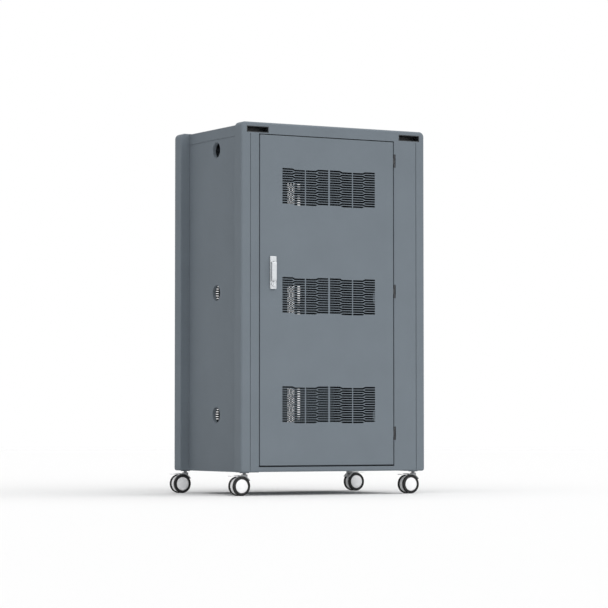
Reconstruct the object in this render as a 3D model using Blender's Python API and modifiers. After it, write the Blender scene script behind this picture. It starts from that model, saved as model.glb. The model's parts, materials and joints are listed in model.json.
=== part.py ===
"""Charging cabinet on casters: a sheet-steel body between two rounded frames.

Metres, +Z up. The front faces -Y and the origin is on the floor under the middle.
The body carries a front and a rear door, two shelves, three device racks with
their charging strips, a swing-handle lock and four twin-wheel casters.
"""

import math

import bmesh
import bpy
from mathutils import Matrix, Vector

# Overall sizes
WIDTH = 0.670
DEPTH = 0.464
HEIGHT = 1.166
FIT = 0.0003
SHEET = 0.0015

# Front and rear frames: corner posts, and the ends of the top cap and base
POST_WIDTH = 0.0315
FRAME_DEPTH = 0.046
FRAME_CORNER = 0.016
FRAME_EDGE = 0.007
FRAME_INNER_EDGE = 0.003
POST_WALL = 0.003
SEAM = 0.001

# Top cap and its two hand grips
CAP_HEIGHT = 0.036
CAP_DROP = 0.003
CAP_WALL = 0.003
CAP_LIP = 0.001
GRIP_WIDTH = 0.077
GRIP_HEIGHT = 0.019
GRIP_DEPTH = 0.036
GRIP_WALL = 0.002
GRIP_RISE = 0.0035
GRIP_INSET = 0.0195

# Base tray and the corner blocks that take the casters
BASE_HEIGHT = 0.0165
BASE_FLOOR = 0.003
BASE_WALL = 0.003
CASTER_BLOCK = 0.065
CASTER_RING = 0.015
CASTER_RING_HEIGHT = 0.002

# Side panels and their cable holes
HOLE_RADIUS = 0.025
HOLE_Y = -0.004
COLLAR_DEPTH = 0.012
COLLAR_WALL = 0.0015
LOW_HOLE_RISE = 0.162
MID_HOLE_RISE = 0.0135
TOP_HOLE_DROP = 0.034

# Door surrounds and doors
LOCK_STRIP = 0.0322
HINGE_STRIP = 0.0837
REAR_STRIP = 0.0322
JAMB_DEPTH = 0.0245
STRIKE_LIP = 0.013
DOOR_GAP = 0.002
DOOR_TOP_GAP = 0.0022
DOOR_BOTTOM_GAP = 0.0034
DOOR_FLANGE = 0.018

# Vents: three fields of slots in each door
VENT_ROWS = 15
VENT_PITCH = 0.0076
VENT_WIDTH = 0.3379
SIDE_BAR = 0.0035
MIDDLE_BAR = 0.006
SLOT_HEIGHT = 0.0053
SLOT_RUN = 0.0085
VENT_SHIFT = 0.0057
LOW_VENT_RISE = 0.1909
TOP_VENT_DROP = 0.1598
REAR_COLUMNS = 5
REAR_SLOT = 0.0525
REAR_SLOT_PITCH = 0.070
REAR_SLOT_HEIGHT = 0.004
REAR_VENT_SHIFT = 0.0008

# Hinges
HINGE_LENGTH = 0.042
HINGE_RADIUS = 0.003
HINGE_SETBACK = 0.0045
HINGE_CLEARANCE = 0.0012
PIN_RADIUS = 0.0017
KNUCKLE_LENGTH = 0.017
LEAF_WIDTH = 0.020
TOP_HINGE_DROP = 0.0611
LOW_HINGE_RISE = 0.1009
MID_HINGE_RISE = 0.0174

# Swing-handle lock
LOCK_WIDTH = 0.024
LOCK_LENGTH = 0.1065
LOCK_PLATE = 0.0045
LOCK_CORNER = 0.003
LOCK_INSET = 0.0458
LOCK_RISE = 0.0857
LEVER_WIDTH = 0.017
LEVER_LENGTH = 0.056
LEVER_THICK = 0.006
LEVER_GAP = 0.0007
SPINDLE_RADIUS = 0.0045
SPINDLE_RISE = 0.030
EYE_WIDTH = 0.006
EYE_PIN = 0.0011
CYLINDER_RADIUS = 0.007
CYLINDER_DROP = 0.0353
CYLINDER_PROUD = 0.0025
CYLINDER_REACH = 0.022
KEYWAY = 0.0016
CAM_LENGTH = 0.044
CAM_WIDTH = 0.014
CAM_THICK = 0.003
LOCK_CLEARANCE = 0.0005
KNOB_RADIUS = 0.013
REAR_LOCK_INSET = 0.0458

# Shelves, racks and charging strips
SHELF_MARGIN = 0.036
SHELF_SHEET = 0.002
BAY_PITCH = 0.080
DIVIDER = 0.002
DIVIDER_HEIGHT = 0.095
DIVIDER_NOSE = 0.030
RACK_DEPTH = 0.260
RACK_FLOOR = 0.002
RACK_SIDE_GAP = 0.012
RACK_SETBACK = 0.012
STRIP_LENGTH = 0.500
STRIP_DEPTH = 0.046
STRIP_HEIGHT = 0.042
STRIP_GAP = 0.030
OUTLET_PITCH = 0.070
OUTLET_SIZE = 0.026
OUTLET_DEPTH = 0.003

# Mains inlet in the right side panel
INLET_WIDTH = 0.058
INLET_HEIGHT = 0.046
INLET_FLANGE = 0.004
INLET_BODY = 0.024
INLET_RIM = 0.006
INLET_RISE = 0.060
INLET_SETBACK = 0.100
INLET_WALL = 0.004
BLADE_LENGTH = 0.012
BLADE_WIDTH = 0.002
BLADE_DEPTH = 0.004
BLADE_SPREAD = 0.007

# Twin-wheel casters
WHEEL_RADIUS = 0.030
TYRE_WIDTH = 0.010
TYRE_WALL = 0.008
TYRE_SHOULDER = 0.0016
WHEEL_SPACING = 0.028
HUB_DOME = 0.0025
AXLE_RADIUS = 0.004
CASTER_TRAIL = 0.018
CASTER_HEADROOM = 0.0124
CASTER_INSET_X = 0.027
CASTER_INSET_Y = 0.029
STEM_RADIUS = 0.0055
STEM_REACH = 0.011
STEM_SHOW = 0.0044
BOSS_RADIUS = 0.010
BOSS_HEIGHT = 0.008
HOOD_INSET = 0.0025
FENDER_GAP = 0.0012
FENDER_WALL = 0.0028
FENDER_START = math.radians(30)
FENDER_END = math.radians(104)
HOOD_LEAD = math.radians(3)
RUNNING_GAP = 0.0006
PEDAL_LENGTH = 0.024
PEDAL_WIDTH = 0.024
PEDAL_THICK = 0.0024

# Facets of round pieces
ROUND = 20
SMALL_ROUND = 12
CORNER_STEPS = 5

# Places worked out from the sizes above
HALF_W = WIDTH / 2
HALF_D = DEPTH / 2
BODY_HALF = HALF_W - POST_WIDTH
BOTTOM = 2 * WHEEL_RADIUS + CASTER_HEADROOM
FLOOR_Z = BOTTOM + BASE_HEIGHT
CAP_Z = HEIGHT - CAP_HEIGHT
PANEL_LOW = FLOOR_Z + FIT
PANEL_HIGH = CAP_Z - FIT
INNER_HALF = BODY_HALF - SHEET - FIT
DOOR_LOW = FLOOR_Z + DOOR_BOTTOM_GAP
DOOR_HIGH = CAP_Z - DOOR_TOP_GAP
LIP_Y = HALF_D - JAMB_DEPTH
PIVOT_Y = HALF_D - HINGE_RADIUS
LOW_VENT = DOOR_LOW + LOW_VENT_RISE
TOP_VENT = DOOR_HIGH - TOP_VENT_DROP
MID_VENT = (LOW_VENT + TOP_VENT) / 2
VENT_HEIGHTS = (LOW_VENT, MID_VENT, TOP_VENT)
SHELF_HEIGHTS = ((LOW_VENT + MID_VENT) / 2, (MID_VENT + TOP_VENT) / 2)
HANDLE_PROUD = FIT + LOCK_PLATE + LEVER_GAP + LEVER_THICK
HOOD_TOP = BOTTOM - CASTER_RING_HEIGHT - STEM_SHOW
AXLE_X = -CASTER_TRAIL
TYRE_INNER = WHEEL_RADIUS - TYRE_WALL
WHEEL_IN = (WHEEL_SPACING - TYRE_WIDTH) / 2
WHEEL_OUT = (WHEEL_SPACING + TYRE_WIDTH) / 2
FENDER_OUTER = WHEEL_RADIUS + FENDER_GAP + FENDER_WALL

for old in list(bpy.data.objects):
    bpy.data.objects.remove(old, do_unlink=True)

PARTS = bpy.data.collections.new("charging_cabinet")
TOOLS = bpy.data.collections.new("cutters")
bpy.context.scene.collection.children.link(PARTS)
bpy.context.scene.collection.children.link(TOOLS)


def finish(name, colour, roughness, metallic):
    """One Principled material."""
    material = bpy.data.materials.new(name)
    material.use_nodes = True
    shader = material.node_tree.nodes["Principled BSDF"]
    shader.inputs["Base Color"].default_value = (*colour, 1.0)
    shader.inputs["Roughness"].default_value = roughness
    shader.inputs["Metallic"].default_value = metallic
    return material


PAINT = finish("grey_blue_paint", (0.19, 0.22, 0.25), 0.45, 0.0)
INNER_STEEL = finish("galvanised_steel", (0.42, 0.43, 0.44), 0.45, 0.8)
DARK_STEEL = finish("blackened_steel", (0.03, 0.03, 0.035), 0.45, 0.7)
BLACK_PLASTIC = finish("black_plastic", (0.012, 0.012, 0.014), 0.5, 0.0)
GREY_PLASTIC = finish("grey_plastic", (0.30, 0.31, 0.32), 0.5, 0.0)
SATIN_CHROME = finish("satin_chrome", (0.78, 0.79, 0.80), 0.25, 1.0)
TYRE_RUBBER = finish("tyre_rubber", (0.015, 0.015, 0.016), 0.65, 0.0)
SILVER_PLASTIC = finish("silver_plastic", (0.55, 0.56, 0.57), 0.35, 0.0)
HUB_WHITE = finish("hub_plastic", (0.80, 0.81, 0.82), 0.35, 0.0)


def mesh_object(name, mesh, group, origin=(0, 0, 0)):
    """Link a mesh whose points are given from the origin."""
    obj = bpy.data.objects.new(name, mesh)
    obj.location = origin
    group.objects.link(obj)
    if group is TOOLS:
        obj.hide_render = True
        obj.display_type = "WIRE"
    return obj


def block(name, low, high, group=TOOLS, origin=None):
    """A box between two corners."""
    low = Vector(low)
    high = Vector(high)
    centre = (low + high) / 2
    origin = centre if origin is None else Vector(origin)
    mesh = bpy.data.meshes.new(name)
    bm = bmesh.new()
    place = Matrix.Translation(centre - origin) @ Matrix.Diagonal((*(high - low), 1))
    bmesh.ops.create_cube(bm, size=1, matrix=place)
    bm.to_mesh(mesh)
    bm.free()
    return mesh_object(name, mesh, group, origin)


def along(axis):
    """Turn that takes local +Z to the named axis."""
    turns = {
        "X": Matrix(((0, 0, 1, 0), (1, 0, 0, 0), (0, 1, 0, 0), (0, 0, 0, 1))),
        "Y": Matrix(((1, 0, 0, 0), (0, 0, -1, 0), (0, 1, 0, 0), (0, 0, 0, 1))),
        "Z": Matrix.Identity(4),
    }
    return turns[axis]


def rod(name, radius, low, high, axis, centre, group=TOOLS, facets=SMALL_ROUND, origin=(0, 0, 0)):
    """A cylinder from low to high along an axis through centre."""
    mesh = bpy.data.meshes.new(name)
    bm = bmesh.new()
    middle = Vector(centre) - Vector(origin)
    middle["XYZ".index(axis)] = (low + high) / 2 - Vector(origin)["XYZ".index(axis)]
    bmesh.ops.create_cone(
        bm, cap_ends=True, segments=facets, radius1=radius, radius2=radius,
        depth=high - low, matrix=Matrix.Translation(middle) @ along(axis),
    )
    bm.to_mesh(mesh)
    bm.free()
    mesh.shade_smooth()
    mesh.set_sharp_from_angle(angle=math.radians(40))
    return mesh_object(name, mesh, group, origin)


def prism(name, outline, low, high, axis, group=TOOLS, origin=(0, 0, 0)):
    """A flat outline made solid from low to high along an axis.

    The outline's two values run along X and Y for axis Z, X and Z for axis Y,
    and Y and Z for axis X.
    """
    curve = bpy.data.curves.new(name, "CURVE")
    curve.dimensions = "2D"
    curve.fill_mode = "BOTH"
    curve.extrude = (high - low) / 2
    spline = curve.splines.new("POLY")
    spline.points.add(len(outline) - 1)
    for point, (u, v) in zip(spline.points, outline):
        point.co = (u, v, 0, 1)
    spline.use_cyclic_u = True
    flat = bpy.data.objects.new(name + "_outline", curve)
    TOOLS.objects.link(flat)
    graph = bpy.context.evaluated_depsgraph_get()
    mesh = bpy.data.meshes.new_from_object(flat.evaluated_get(graph))
    mesh.name = name
    bpy.data.objects.remove(flat, do_unlink=True)
    bpy.data.curves.remove(curve)
    shift = Vector((0, 0, 0))
    shift["XYZ".index(axis)] = (low + high) / 2
    mesh.transform(Matrix.Translation(shift - Vector(origin)) @ along(axis))
    bm = bmesh.new()
    bm.from_mesh(mesh)
    bmesh.ops.remove_doubles(bm, verts=bm.verts, dist=1e-6)
    bmesh.ops.recalc_face_normals(bm, faces=bm.faces)
    bm.to_mesh(mesh)
    bm.free()
    return mesh_object(name, mesh, group, origin)


def turned(name, profile, closed, group, facets=ROUND):
    """A profile of (radius, height) points turned about Y."""
    mesh = bpy.data.meshes.new(name)
    points = [(radius, 0, height) for radius, height in profile]
    edges = [(i, i + 1) for i in range(len(points) - 1)]
    if closed:
        edges.append((len(points) - 1, 0))
    mesh.from_pydata(points, edges, [])
    obj = mesh_object(name, mesh, group)
    screw = obj.modifiers.new("turn", "SCREW")
    screw.steps = facets
    screw.render_steps = facets
    screw.use_merge_vertices = True
    screw.merge_threshold = 1e-5
    screw.use_smooth_shade = True
    weld = obj.modifiers.new("weld", "WELD")
    weld.merge_threshold = 1e-5
    graph = bpy.context.evaluated_depsgraph_get()
    solid = bpy.data.meshes.new_from_object(obj.evaluated_get(graph))
    solid.name = name
    solid.transform(along("Y"))
    solid.set_sharp_from_angle(angle=math.radians(40))
    obj.modifiers.clear()
    obj.data = solid
    bpy.data.meshes.remove(mesh)
    return obj


def arc(centre, radius, start, end, steps):
    """Points on an arc, both ends included."""
    points = []
    for i in range(steps + 1):
        angle = start + (end - start) * i / steps
        points.append((centre[0] + radius * math.cos(angle), centre[1] + radius * math.sin(angle)))
    return points


def rounded_rectangle(low, high, lower_radius, upper_radius):
    """Outline of a rectangle with its own radius at the lower and upper corners."""
    quarter = math.pi / 2
    corners = (
        (low[0] + lower_radius, low[1] + lower_radius, lower_radius, 2),
        (high[0] - lower_radius, low[1] + lower_radius, lower_radius, 3),
        (high[0] - upper_radius, high[1] - upper_radius, upper_radius, 0),
        (low[0] + upper_radius, high[1] - upper_radius, upper_radius, 1),
    )
    outline = []
    for x, z, radius, turn in corners:
        outline += arc((x, z), radius, turn * quarter, (turn + 1) * quarter, CORNER_STEPS)
    return outline


def combine(obj, other, operation):
    """Boolean one solid with another, which becomes a tool."""
    modifier = obj.modifiers.new(other.name, "BOOLEAN")
    modifier.operation = operation
    modifier.solver = "EXACT"
    modifier.object = other


def cut(obj, *others):
    for other in others:
        combine(obj, other, "DIFFERENCE")


def add(obj, *others):
    for other in others:
        combine(obj, other, "UNION")


def paint(obj, material):
    obj.data.materials.clear()
    obj.data.materials.append(material)
    return obj


def pivot(name, place, parent=None):
    """An empty on a joint's axis."""
    empty = bpy.data.objects.new(name, None)
    empty.empty_display_size = 0.02
    PARTS.objects.link(empty)
    empty.location = place
    if parent is not None:
        empty.location = Vector(place) - parent.matrix_world.translation
        empty.parent = parent
    bpy.context.view_layer.update()
    return empty


def hang(obj, parent):
    """Parent an object to an empty without moving it."""
    bpy.context.view_layer.update()
    obj.parent = parent
    obj.matrix_parent_inverse = parent.matrix_world.inverted()


def frame_slice(name, face, low, high, group=TOOLS):
    """The part of the rounded front (-1) or rear (+1) frame inside a box."""
    outline = rounded_rectangle((-HALF_W, BOTTOM), (HALF_W, HEIGHT), FRAME_EDGE, FRAME_CORNER)
    ends = sorted((face * HALF_D, face * (HALF_D - FRAME_DEPTH)))
    obj = prism(name, outline, ends[0], ends[1], "Y", group)
    rims = obj.data.attributes.new("bevel_weight_edge", "FLOAT", "EDGE")
    for edge in obj.data.edges:
        depths = [abs(obj.data.vertices[i].co.y) for i in edge.vertices]
        if max(depths) - min(depths) < FIT:
            outer = abs(depths[0] - HALF_D) < FIT
            rims.data[edge.index].value = 1 if outer else FRAME_INNER_EDGE / FRAME_EDGE
    bevel = obj.modifiers.new("edges", "BEVEL")
    bevel.width = FRAME_EDGE
    bevel.segments = 3
    bevel.limit_method = "WEIGHT"
    bounds = block(name + "_bounds", (low[0], -WIDTH, low[1]), (high[0], WIDTH, high[1]))
    combine(obj, bounds, "INTERSECT")
    return obj


def make_posts():
    for side, hand in ((-1, "left"), (1, "right")):
        for face, end in ((-1, "front"), (1, "rear")):
            name = f"{end}_{hand}_post"
            inner = BODY_HALF + FIT
            spread = sorted((side * inner, side * WIDTH))
            post = frame_slice(name, face, (spread[0], PANEL_LOW), (spread[1], PANEL_HIGH), PARTS)
            xs = sorted((side * (inner + POST_WALL), side * (HALF_W - POST_WALL)))
            ys = sorted((face * (HALF_D - POST_WALL), face * (HALF_D - FRAME_DEPTH + POST_WALL)))
            core = block(name + "_core", (xs[0], ys[0], 0), (xs[1], ys[1], HEIGHT))
            cut(post, core)
            paint(post, PAINT)


def make_cap():
    span = (WIDTH, HEIGHT + CAP_HEIGHT)
    cap = frame_slice("top_cap", -1, (-WIDTH, CAP_Z), span, PARTS)
    rear = frame_slice("cap_rear", 1, (-WIDTH, CAP_Z), span)
    half = BODY_HALF + CAP_LIP
    reach = HALF_D - FRAME_DEPTH / 2
    top = block("cap_panel", (-half, -reach, CAP_Z), (half, reach, HEIGHT - CAP_DROP))
    add(cap, rear, top)
    hollow_x = BODY_HALF - CAP_WALL
    hollow_y = HALF_D - CAP_WALL
    roof = HEIGHT - CAP_DROP - CAP_WALL
    cut(cap, block("cap_hollow", (-hollow_x, -hollow_y, 0), (hollow_x, hollow_y, roof)))
    for side, hand in ((-1, "left"), (1, "right")):
        outer = HALF_W - GRIP_INSET
        xs = sorted((side * outer, side * (outer - GRIP_WIDTH)))
        low = Vector((xs[0], -HALF_D, CAP_Z + GRIP_RISE))
        high = Vector((xs[1], -HALF_D + GRIP_DEPTH, CAP_Z + GRIP_RISE + GRIP_HEIGHT))
        room = Vector((FIT, FIT, FIT))
        open_front = Vector((0, GRIP_DEPTH, 0))
        cut(cap, block(hand + "_grip_hole", low - room - open_front, high + room))
        grip = block(hand + "_hand_grip", low, high, PARTS)
        wall = Vector((GRIP_WALL, 0, GRIP_WALL))
        back = Vector((0, GRIP_WALL, 0))
        cut(grip, block(hand + "_grip_cup", low + wall - open_front, high - wall - back))
        paint(grip, BLACK_PLASTIC)
    paint(cap, PAINT)


def caster_places():
    """Stem places, and the turn each caster stands at."""
    x = HALF_W - CASTER_INSET_X
    y = HALF_D - CASTER_INSET_Y
    return (
        ("front_left", (-x, -y), 0.0),
        ("front_right", (x, -y), 0.0),
        ("rear_left", (-x, y), 0.0),
        ("rear_right", (x, y), math.pi),
    )


def make_base():
    base = frame_slice("base_tray", -1, (-WIDTH, 0), (WIDTH, FLOOR_Z), PARTS)
    rear = frame_slice("base_rear", 1, (-WIDTH, 0), (WIDTH, FLOOR_Z))
    reach = HALF_D - FRAME_DEPTH / 2
    add(base, rear, block("base_floor", (-BODY_HALF, -reach, BOTTOM), (BODY_HALF, reach, FLOOR_Z)))
    block_x = HALF_W - CASTER_BLOCK
    block_y = HALF_D - CASTER_BLOCK
    wall_x = BODY_HALF - BASE_WALL
    wall_y = HALF_D - BASE_WALL
    roof = FLOOR_Z - BASE_FLOOR
    cut(base, block("base_hollow_long", (-block_x, -wall_y, 0), (block_x, wall_y, roof)))
    cut(base, block("base_hollow_wide", (-wall_x, -block_y, 0), (wall_x, block_y, roof)))
    for name, (x, y), _ in caster_places():
        low = BOTTOM - CASTER_RING_HEIGHT
        ring = rod(name + "_ring", CASTER_RING, low, BOTTOM + FIT, "Z", (x, y, 0))
        add(base, ring)
        top = BOTTOM + STEM_REACH + FIT
        socket = rod(name + "_socket", STEM_RADIUS + FIT, 0, top, "Z", (x, y, 0))
        cut(base, socket)
    paint(base, PAINT)


def inlet_centre():
    return HALF_D - INLET_SETBACK, FLOOR_Z + INLET_RISE


def make_sides():
    heights = (FLOOR_Z + LOW_HOLE_RISE, MID_VENT + MID_HOLE_RISE, CAP_Z - TOP_HOLE_DROP)
    edge = HALF_D - SHEET - FIT
    for side, hand in ((-1, "left"), (1, "right")):
        xs = sorted((side * BODY_HALF, side * (BODY_HALF - SHEET)))
        low = (xs[0], -edge, PANEL_LOW)
        high = (xs[1], edge, PANEL_HIGH)
        panel = block(hand + "_side_panel", low, high, PARTS)
        ends = sorted((side * BODY_HALF, side * (BODY_HALF - COLLAR_DEPTH)))
        for z in heights:
            centre = (0, HOLE_Y, z)
            outer = HOLE_RADIUS + COLLAR_WALL
            add(panel, rod("collar", outer, ends[0], ends[1], "X", centre, facets=ROUND))
            cut(panel, rod("hole", HOLE_RADIUS, -WIDTH, WIDTH, "X", centre, facets=ROUND))
        if side > 0:
            y, z = inlet_centre()
            half_y = INLET_WIDTH / 2 - INLET_RIM + FIT
            half_z = INLET_HEIGHT / 2 - INLET_RIM + FIT
            cut(panel, block("inlet_hole", (0, y - half_y, z - half_z), (WIDTH, y + half_y, z + half_z)))
        paint(panel, PAINT)


def make_inlet():
    y, z = inlet_centre()
    half_y = INLET_WIDTH / 2
    half_z = INLET_HEIGHT / 2
    seat = BODY_HALF + FIT
    face = seat + INLET_FLANGE
    inlet = block("mains_inlet", (seat, y - half_y, z - half_z), (face, y + half_y, z + half_z), PARTS)
    body_y = half_y - INLET_RIM
    body_z = half_z - INLET_RIM
    back = seat - INLET_BODY
    add(inlet, block("inlet_body", (back, y - body_y, z - body_z), (face - FIT, y + body_y, z + body_z)))
    well_y = body_y - INLET_WALL
    well_z = body_z - INLET_WALL
    floor = back + INLET_WALL
    cut(inlet, block("inlet_well", (floor, y - well_y, z - well_z), (WIDTH, y + well_y, z + well_z)))
    for shift in (-BLADE_SPREAD, 0, BLADE_SPREAD):
        low = (floor - FIT, y + shift - BLADE_WIDTH / 2, z - BLADE_DEPTH / 2)
        high = (floor + BLADE_LENGTH, y + shift + BLADE_WIDTH / 2, z + BLADE_DEPTH / 2)
        add(inlet, block("inlet_blade", low, high))
    paint(inlet, BLACK_PLASTIC)


def hinge_heights(count):
    top = DOOR_HIGH - TOP_HINGE_DROP
    low = DOOR_LOW + LOW_HINGE_RISE
    middle = (top + low) / 2 + MID_HINGE_RISE
    return (low, middle, top) if count == 3 else (low, top)


def make_strips():
    """Door surrounds: a lock strip with a strike lip and a hinge strip for each door."""
    for face, end in ((-1, "front"), (1, "rear")):
        width = LOCK_STRIP if face < 0 else REAR_STRIP
        outer = BODY_HALF - SEAM
        edge = BODY_HALF - width
        front = face * HALF_D
        skin = face * (HALF_D - SHEET)
        lip = face * LIP_Y
        lip_back = face * (LIP_Y - SHEET)
        outline = [
            (-outer, front), (-edge, front), (-edge, lip), (-edge + STRIKE_LIP, lip),
            (-edge + STRIKE_LIP, lip_back), (-edge - SHEET, lip_back), (-edge - SHEET, skin), (-outer, skin),
        ]
        strip = prism(end + "_lock_strip", outline, PANEL_LOW, PANEL_HIGH, "Z", PARTS)
        paint(strip, PAINT)
        edge = hinge_edge(face)
        outline = [
            (outer, front), (edge, front), (edge, lip_back), (edge + SHEET, lip_back),
            (edge + SHEET, skin), (outer, skin),
        ]
        strip = prism(end + "_hinge_strip", outline, PANEL_LOW, PANEL_HIGH, "Z", PARTS)
        axis = hinge_axis(face)
        reach = HINGE_RADIUS + HINGE_CLEARANCE
        half = HINGE_LENGTH / 2 + FIT
        ys = sorted((face * WIDTH, face * (PIVOT_Y - reach)))
        for z in hinge_heights(3 if face < 0 else 2):
            cut(strip, block("hinge_notch", (edge - SHEET, ys[0], z - half), (axis + reach, ys[1], z + half)))
        paint(strip, PAINT)


def hinge_edge(face):
    """X of the doorway edge on the hinge side."""
    return BODY_HALF - (HINGE_STRIP if face < 0 else REAR_STRIP)


def hinge_axis(face):
    return hinge_edge(face) - DOOR_GAP + HINGE_SETBACK


def make_hinges():
    for face, end in ((-1, "front"), (1, "rear")):
        axis = hinge_axis(face)
        centre = (axis, face * PIVOT_Y, 0)
        leaf = axis + HINGE_RADIUS + HINGE_CLEARANCE
        ys = sorted((face * (HALF_D - SHEET - FIT), face * (HALF_D - 2 * SHEET - FIT)))
        half = HINGE_LENGTH / 2
        knuckle = KNUCKLE_LENGTH / 2 + FIT
        names = ("low", "middle", "top") if face < 0 else ("low", "top")
        for label, z in zip(names, hinge_heights(len(names))):
            name = f"{end}_{label}_hinge"
            low = (leaf, ys[0], z - half)
            bracket = block(name + "_bracket", low, (leaf + LEAF_WIDTH, ys[1], z + half), PARTS)
            for near, far in ((z - half, z - knuckle), (z + knuckle, z + half)):
                add(bracket, block("hinge_lug", (axis, ys[0], near), (leaf + FIT, ys[1], far)))
                add(bracket, rod("hinge_barrel", HINGE_RADIUS, near, far, "Z", centre))
            bore = rod("hinge_bore", PIN_RADIUS + FIT, z - HINGE_LENGTH, z + HINGE_LENGTH, "Z", centre)
            cut(bracket, bore)
            paint(bracket, DARK_STEEL)
            pin = rod(name + "_pin", PIN_RADIUS, z - half, z + half, "Z", centre, PARTS)
            paint(pin, DARK_STEEL)


def row_height(row):
    """Height of a raised row of slots above the middle of its vent."""
    return ((VENT_ROWS - 1) / 2 - row) * VENT_PITCH + VENT_PITCH / 4


def block_slots(reach):
    """Slot outlines of one block of a front vent, about its middle, with the raised rows on the left.

    Of three rows, two step half a row at the middle and one ends there in a point; from the
    other side a pointed slot comes in between.
    """
    half = SLOT_HEIGHT / 2
    step = VENT_PITCH / 2
    lean = math.tan(math.atan2(step, SLOT_RUN) / 2)
    shoulder = -SLOT_RUN / 2 - (VENT_PITCH - half) * lean
    tip = shoulder + half * SLOT_RUN / step
    outlines = []
    for row in range(VENT_ROWS):
        z = row_height(row)
        if row % 3 == 1:
            outlines.append([
                (-reach, z - half), (shoulder, z - half), (tip, z), (shoulder, z + half), (-reach, z + half),
            ])
            continue
        way = -1 if row % 3 == 0 else 1
        end = z + way * step
        shift = -way * half * lean
        outlines.append([
            (-reach, z - half), (-SLOT_RUN / 2 - shift, z - half), (SLOT_RUN / 2 - shift, end - half),
            (reach, end - half), (reach, end + half), (SLOT_RUN / 2 + shift, end + half),
            (-SLOT_RUN / 2 + shift, z + half), (-reach, z + half),
        ])
        if row % 3 == 2:
            z -= step
            outlines.append([
                (reach, z + half), (-shoulder, z + half), (-tip, z), (-shoulder, z - half), (reach, z - half),
            ])
    return outlines


def front_slots():
    """Slot outlines of one front vent: blocks between upright bars, every other one mirrored."""
    bars = (SIDE_BAR, MIDDLE_BAR, SIDE_BAR)
    width = (VENT_WIDTH - sum(bars)) / (len(bars) + 1)
    left = -VENT_WIDTH / 2
    outlines = []
    for i in range(len(bars) + 1):
        way = 1 if i % 2 == 0 else -1
        for outline in block_slots(width / 2):
            outlines.append([(left + width / 2 + way * x, z) for x, z in outline])
        left += width + (bars[i] if i < len(bars) else 0)
    return outlines


def rear_slots():
    """Slot outlines of one rear vent: columns of plain slots."""
    half = REAR_SLOT_HEIGHT / 2
    outlines = []
    for row in range(VENT_ROWS):
        z = row_height(row)
        for column in range(REAR_COLUMNS):
            x = (column - (REAR_COLUMNS - 1) / 2) * REAR_SLOT_PITCH
            low = x - REAR_SLOT / 2
            high = x + REAR_SLOT / 2
            outlines.append([(low, z - half), (high, z - half), (high, z + half), (low, z + half)])
    return outlines


def vent_cutter(face, centre_x):
    """All the slots of one door as one tool."""
    mesh = bpy.data.meshes.new("vent_slots")
    bm = bmesh.new()
    outlines = front_slots() if face < 0 else rear_slots()
    ends = (face * (HALF_D + SHEET), face * (HALF_D - 3 * SHEET))
    for middle in VENT_HEIGHTS:
        for outline in outlines:
            outer, inner = ([bm.verts.new((centre_x + x, y, middle + z)) for x, z in outline] for y in ends)
            bm.faces.new(outer)
            bm.faces.new(inner)
            for i in range(len(outline)):
                bm.faces.new((outer[i - 1], outer[i], inner[i], inner[i - 1]))
    bmesh.ops.recalc_face_normals(bm, faces=bm.faces)
    bm.to_mesh(mesh)
    bm.free()
    return mesh_object("vent_slots", mesh, TOOLS)


def make_door(face, end, hinges):
    """A sheet door with turned-in edges, vents and hinge knuckles."""
    right = hinge_edge(face) - DOOR_GAP
    left = -BODY_HALF + (LOCK_STRIP if face < 0 else REAR_STRIP) + DOOR_GAP
    ys = sorted((face * HALF_D, face * (HALF_D - DOOR_FLANGE)))
    door = block(end + "_door", (left, ys[0], DOOR_LOW), (right, ys[1], DOOR_HIGH), PARTS)
    pan = sorted((face * (HALF_D - SHEET), 0))
    low = (left + SHEET, pan[0], DOOR_LOW + SHEET)
    cut(door, block(end + "_door_pan", low, (right - SHEET, pan[1], DOOR_HIGH - SHEET)))
    front_left = -BODY_HALF + LOCK_STRIP + DOOR_GAP
    front_right = hinge_edge(-1) - DOOR_GAP
    shift = VENT_SHIFT if face < 0 else REAR_VENT_SHIFT
    cut(door, vent_cutter(face, (front_left + front_right) / 2 + shift))
    axis = hinge_axis(face)
    centre = (axis, face * PIVOT_Y, 0)
    half = KNUCKLE_LENGTH / 2
    tongue = SHEET * 0.8
    for z in hinge_heights(hinges):
        low = (right - SHEET, face * PIVOT_Y - tongue, z - half)
        add(door, block("knuckle_tongue", low, (axis, face * PIVOT_Y + tongue, z + half)))
        add(door, rod("knuckle", HINGE_RADIUS, z - half, z + half, "Z", centre))
        cut(door, rod("knuckle_bore", PIN_RADIUS + FIT, z - HINGE_LENGTH, z + HINGE_LENGTH, "Z", centre))
    paint(door, PAINT)
    swing = pivot(end + "_door_axis", (axis, face * PIVOT_Y, DOOR_LOW))
    hang(door, swing)
    return door, swing, left


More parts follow.
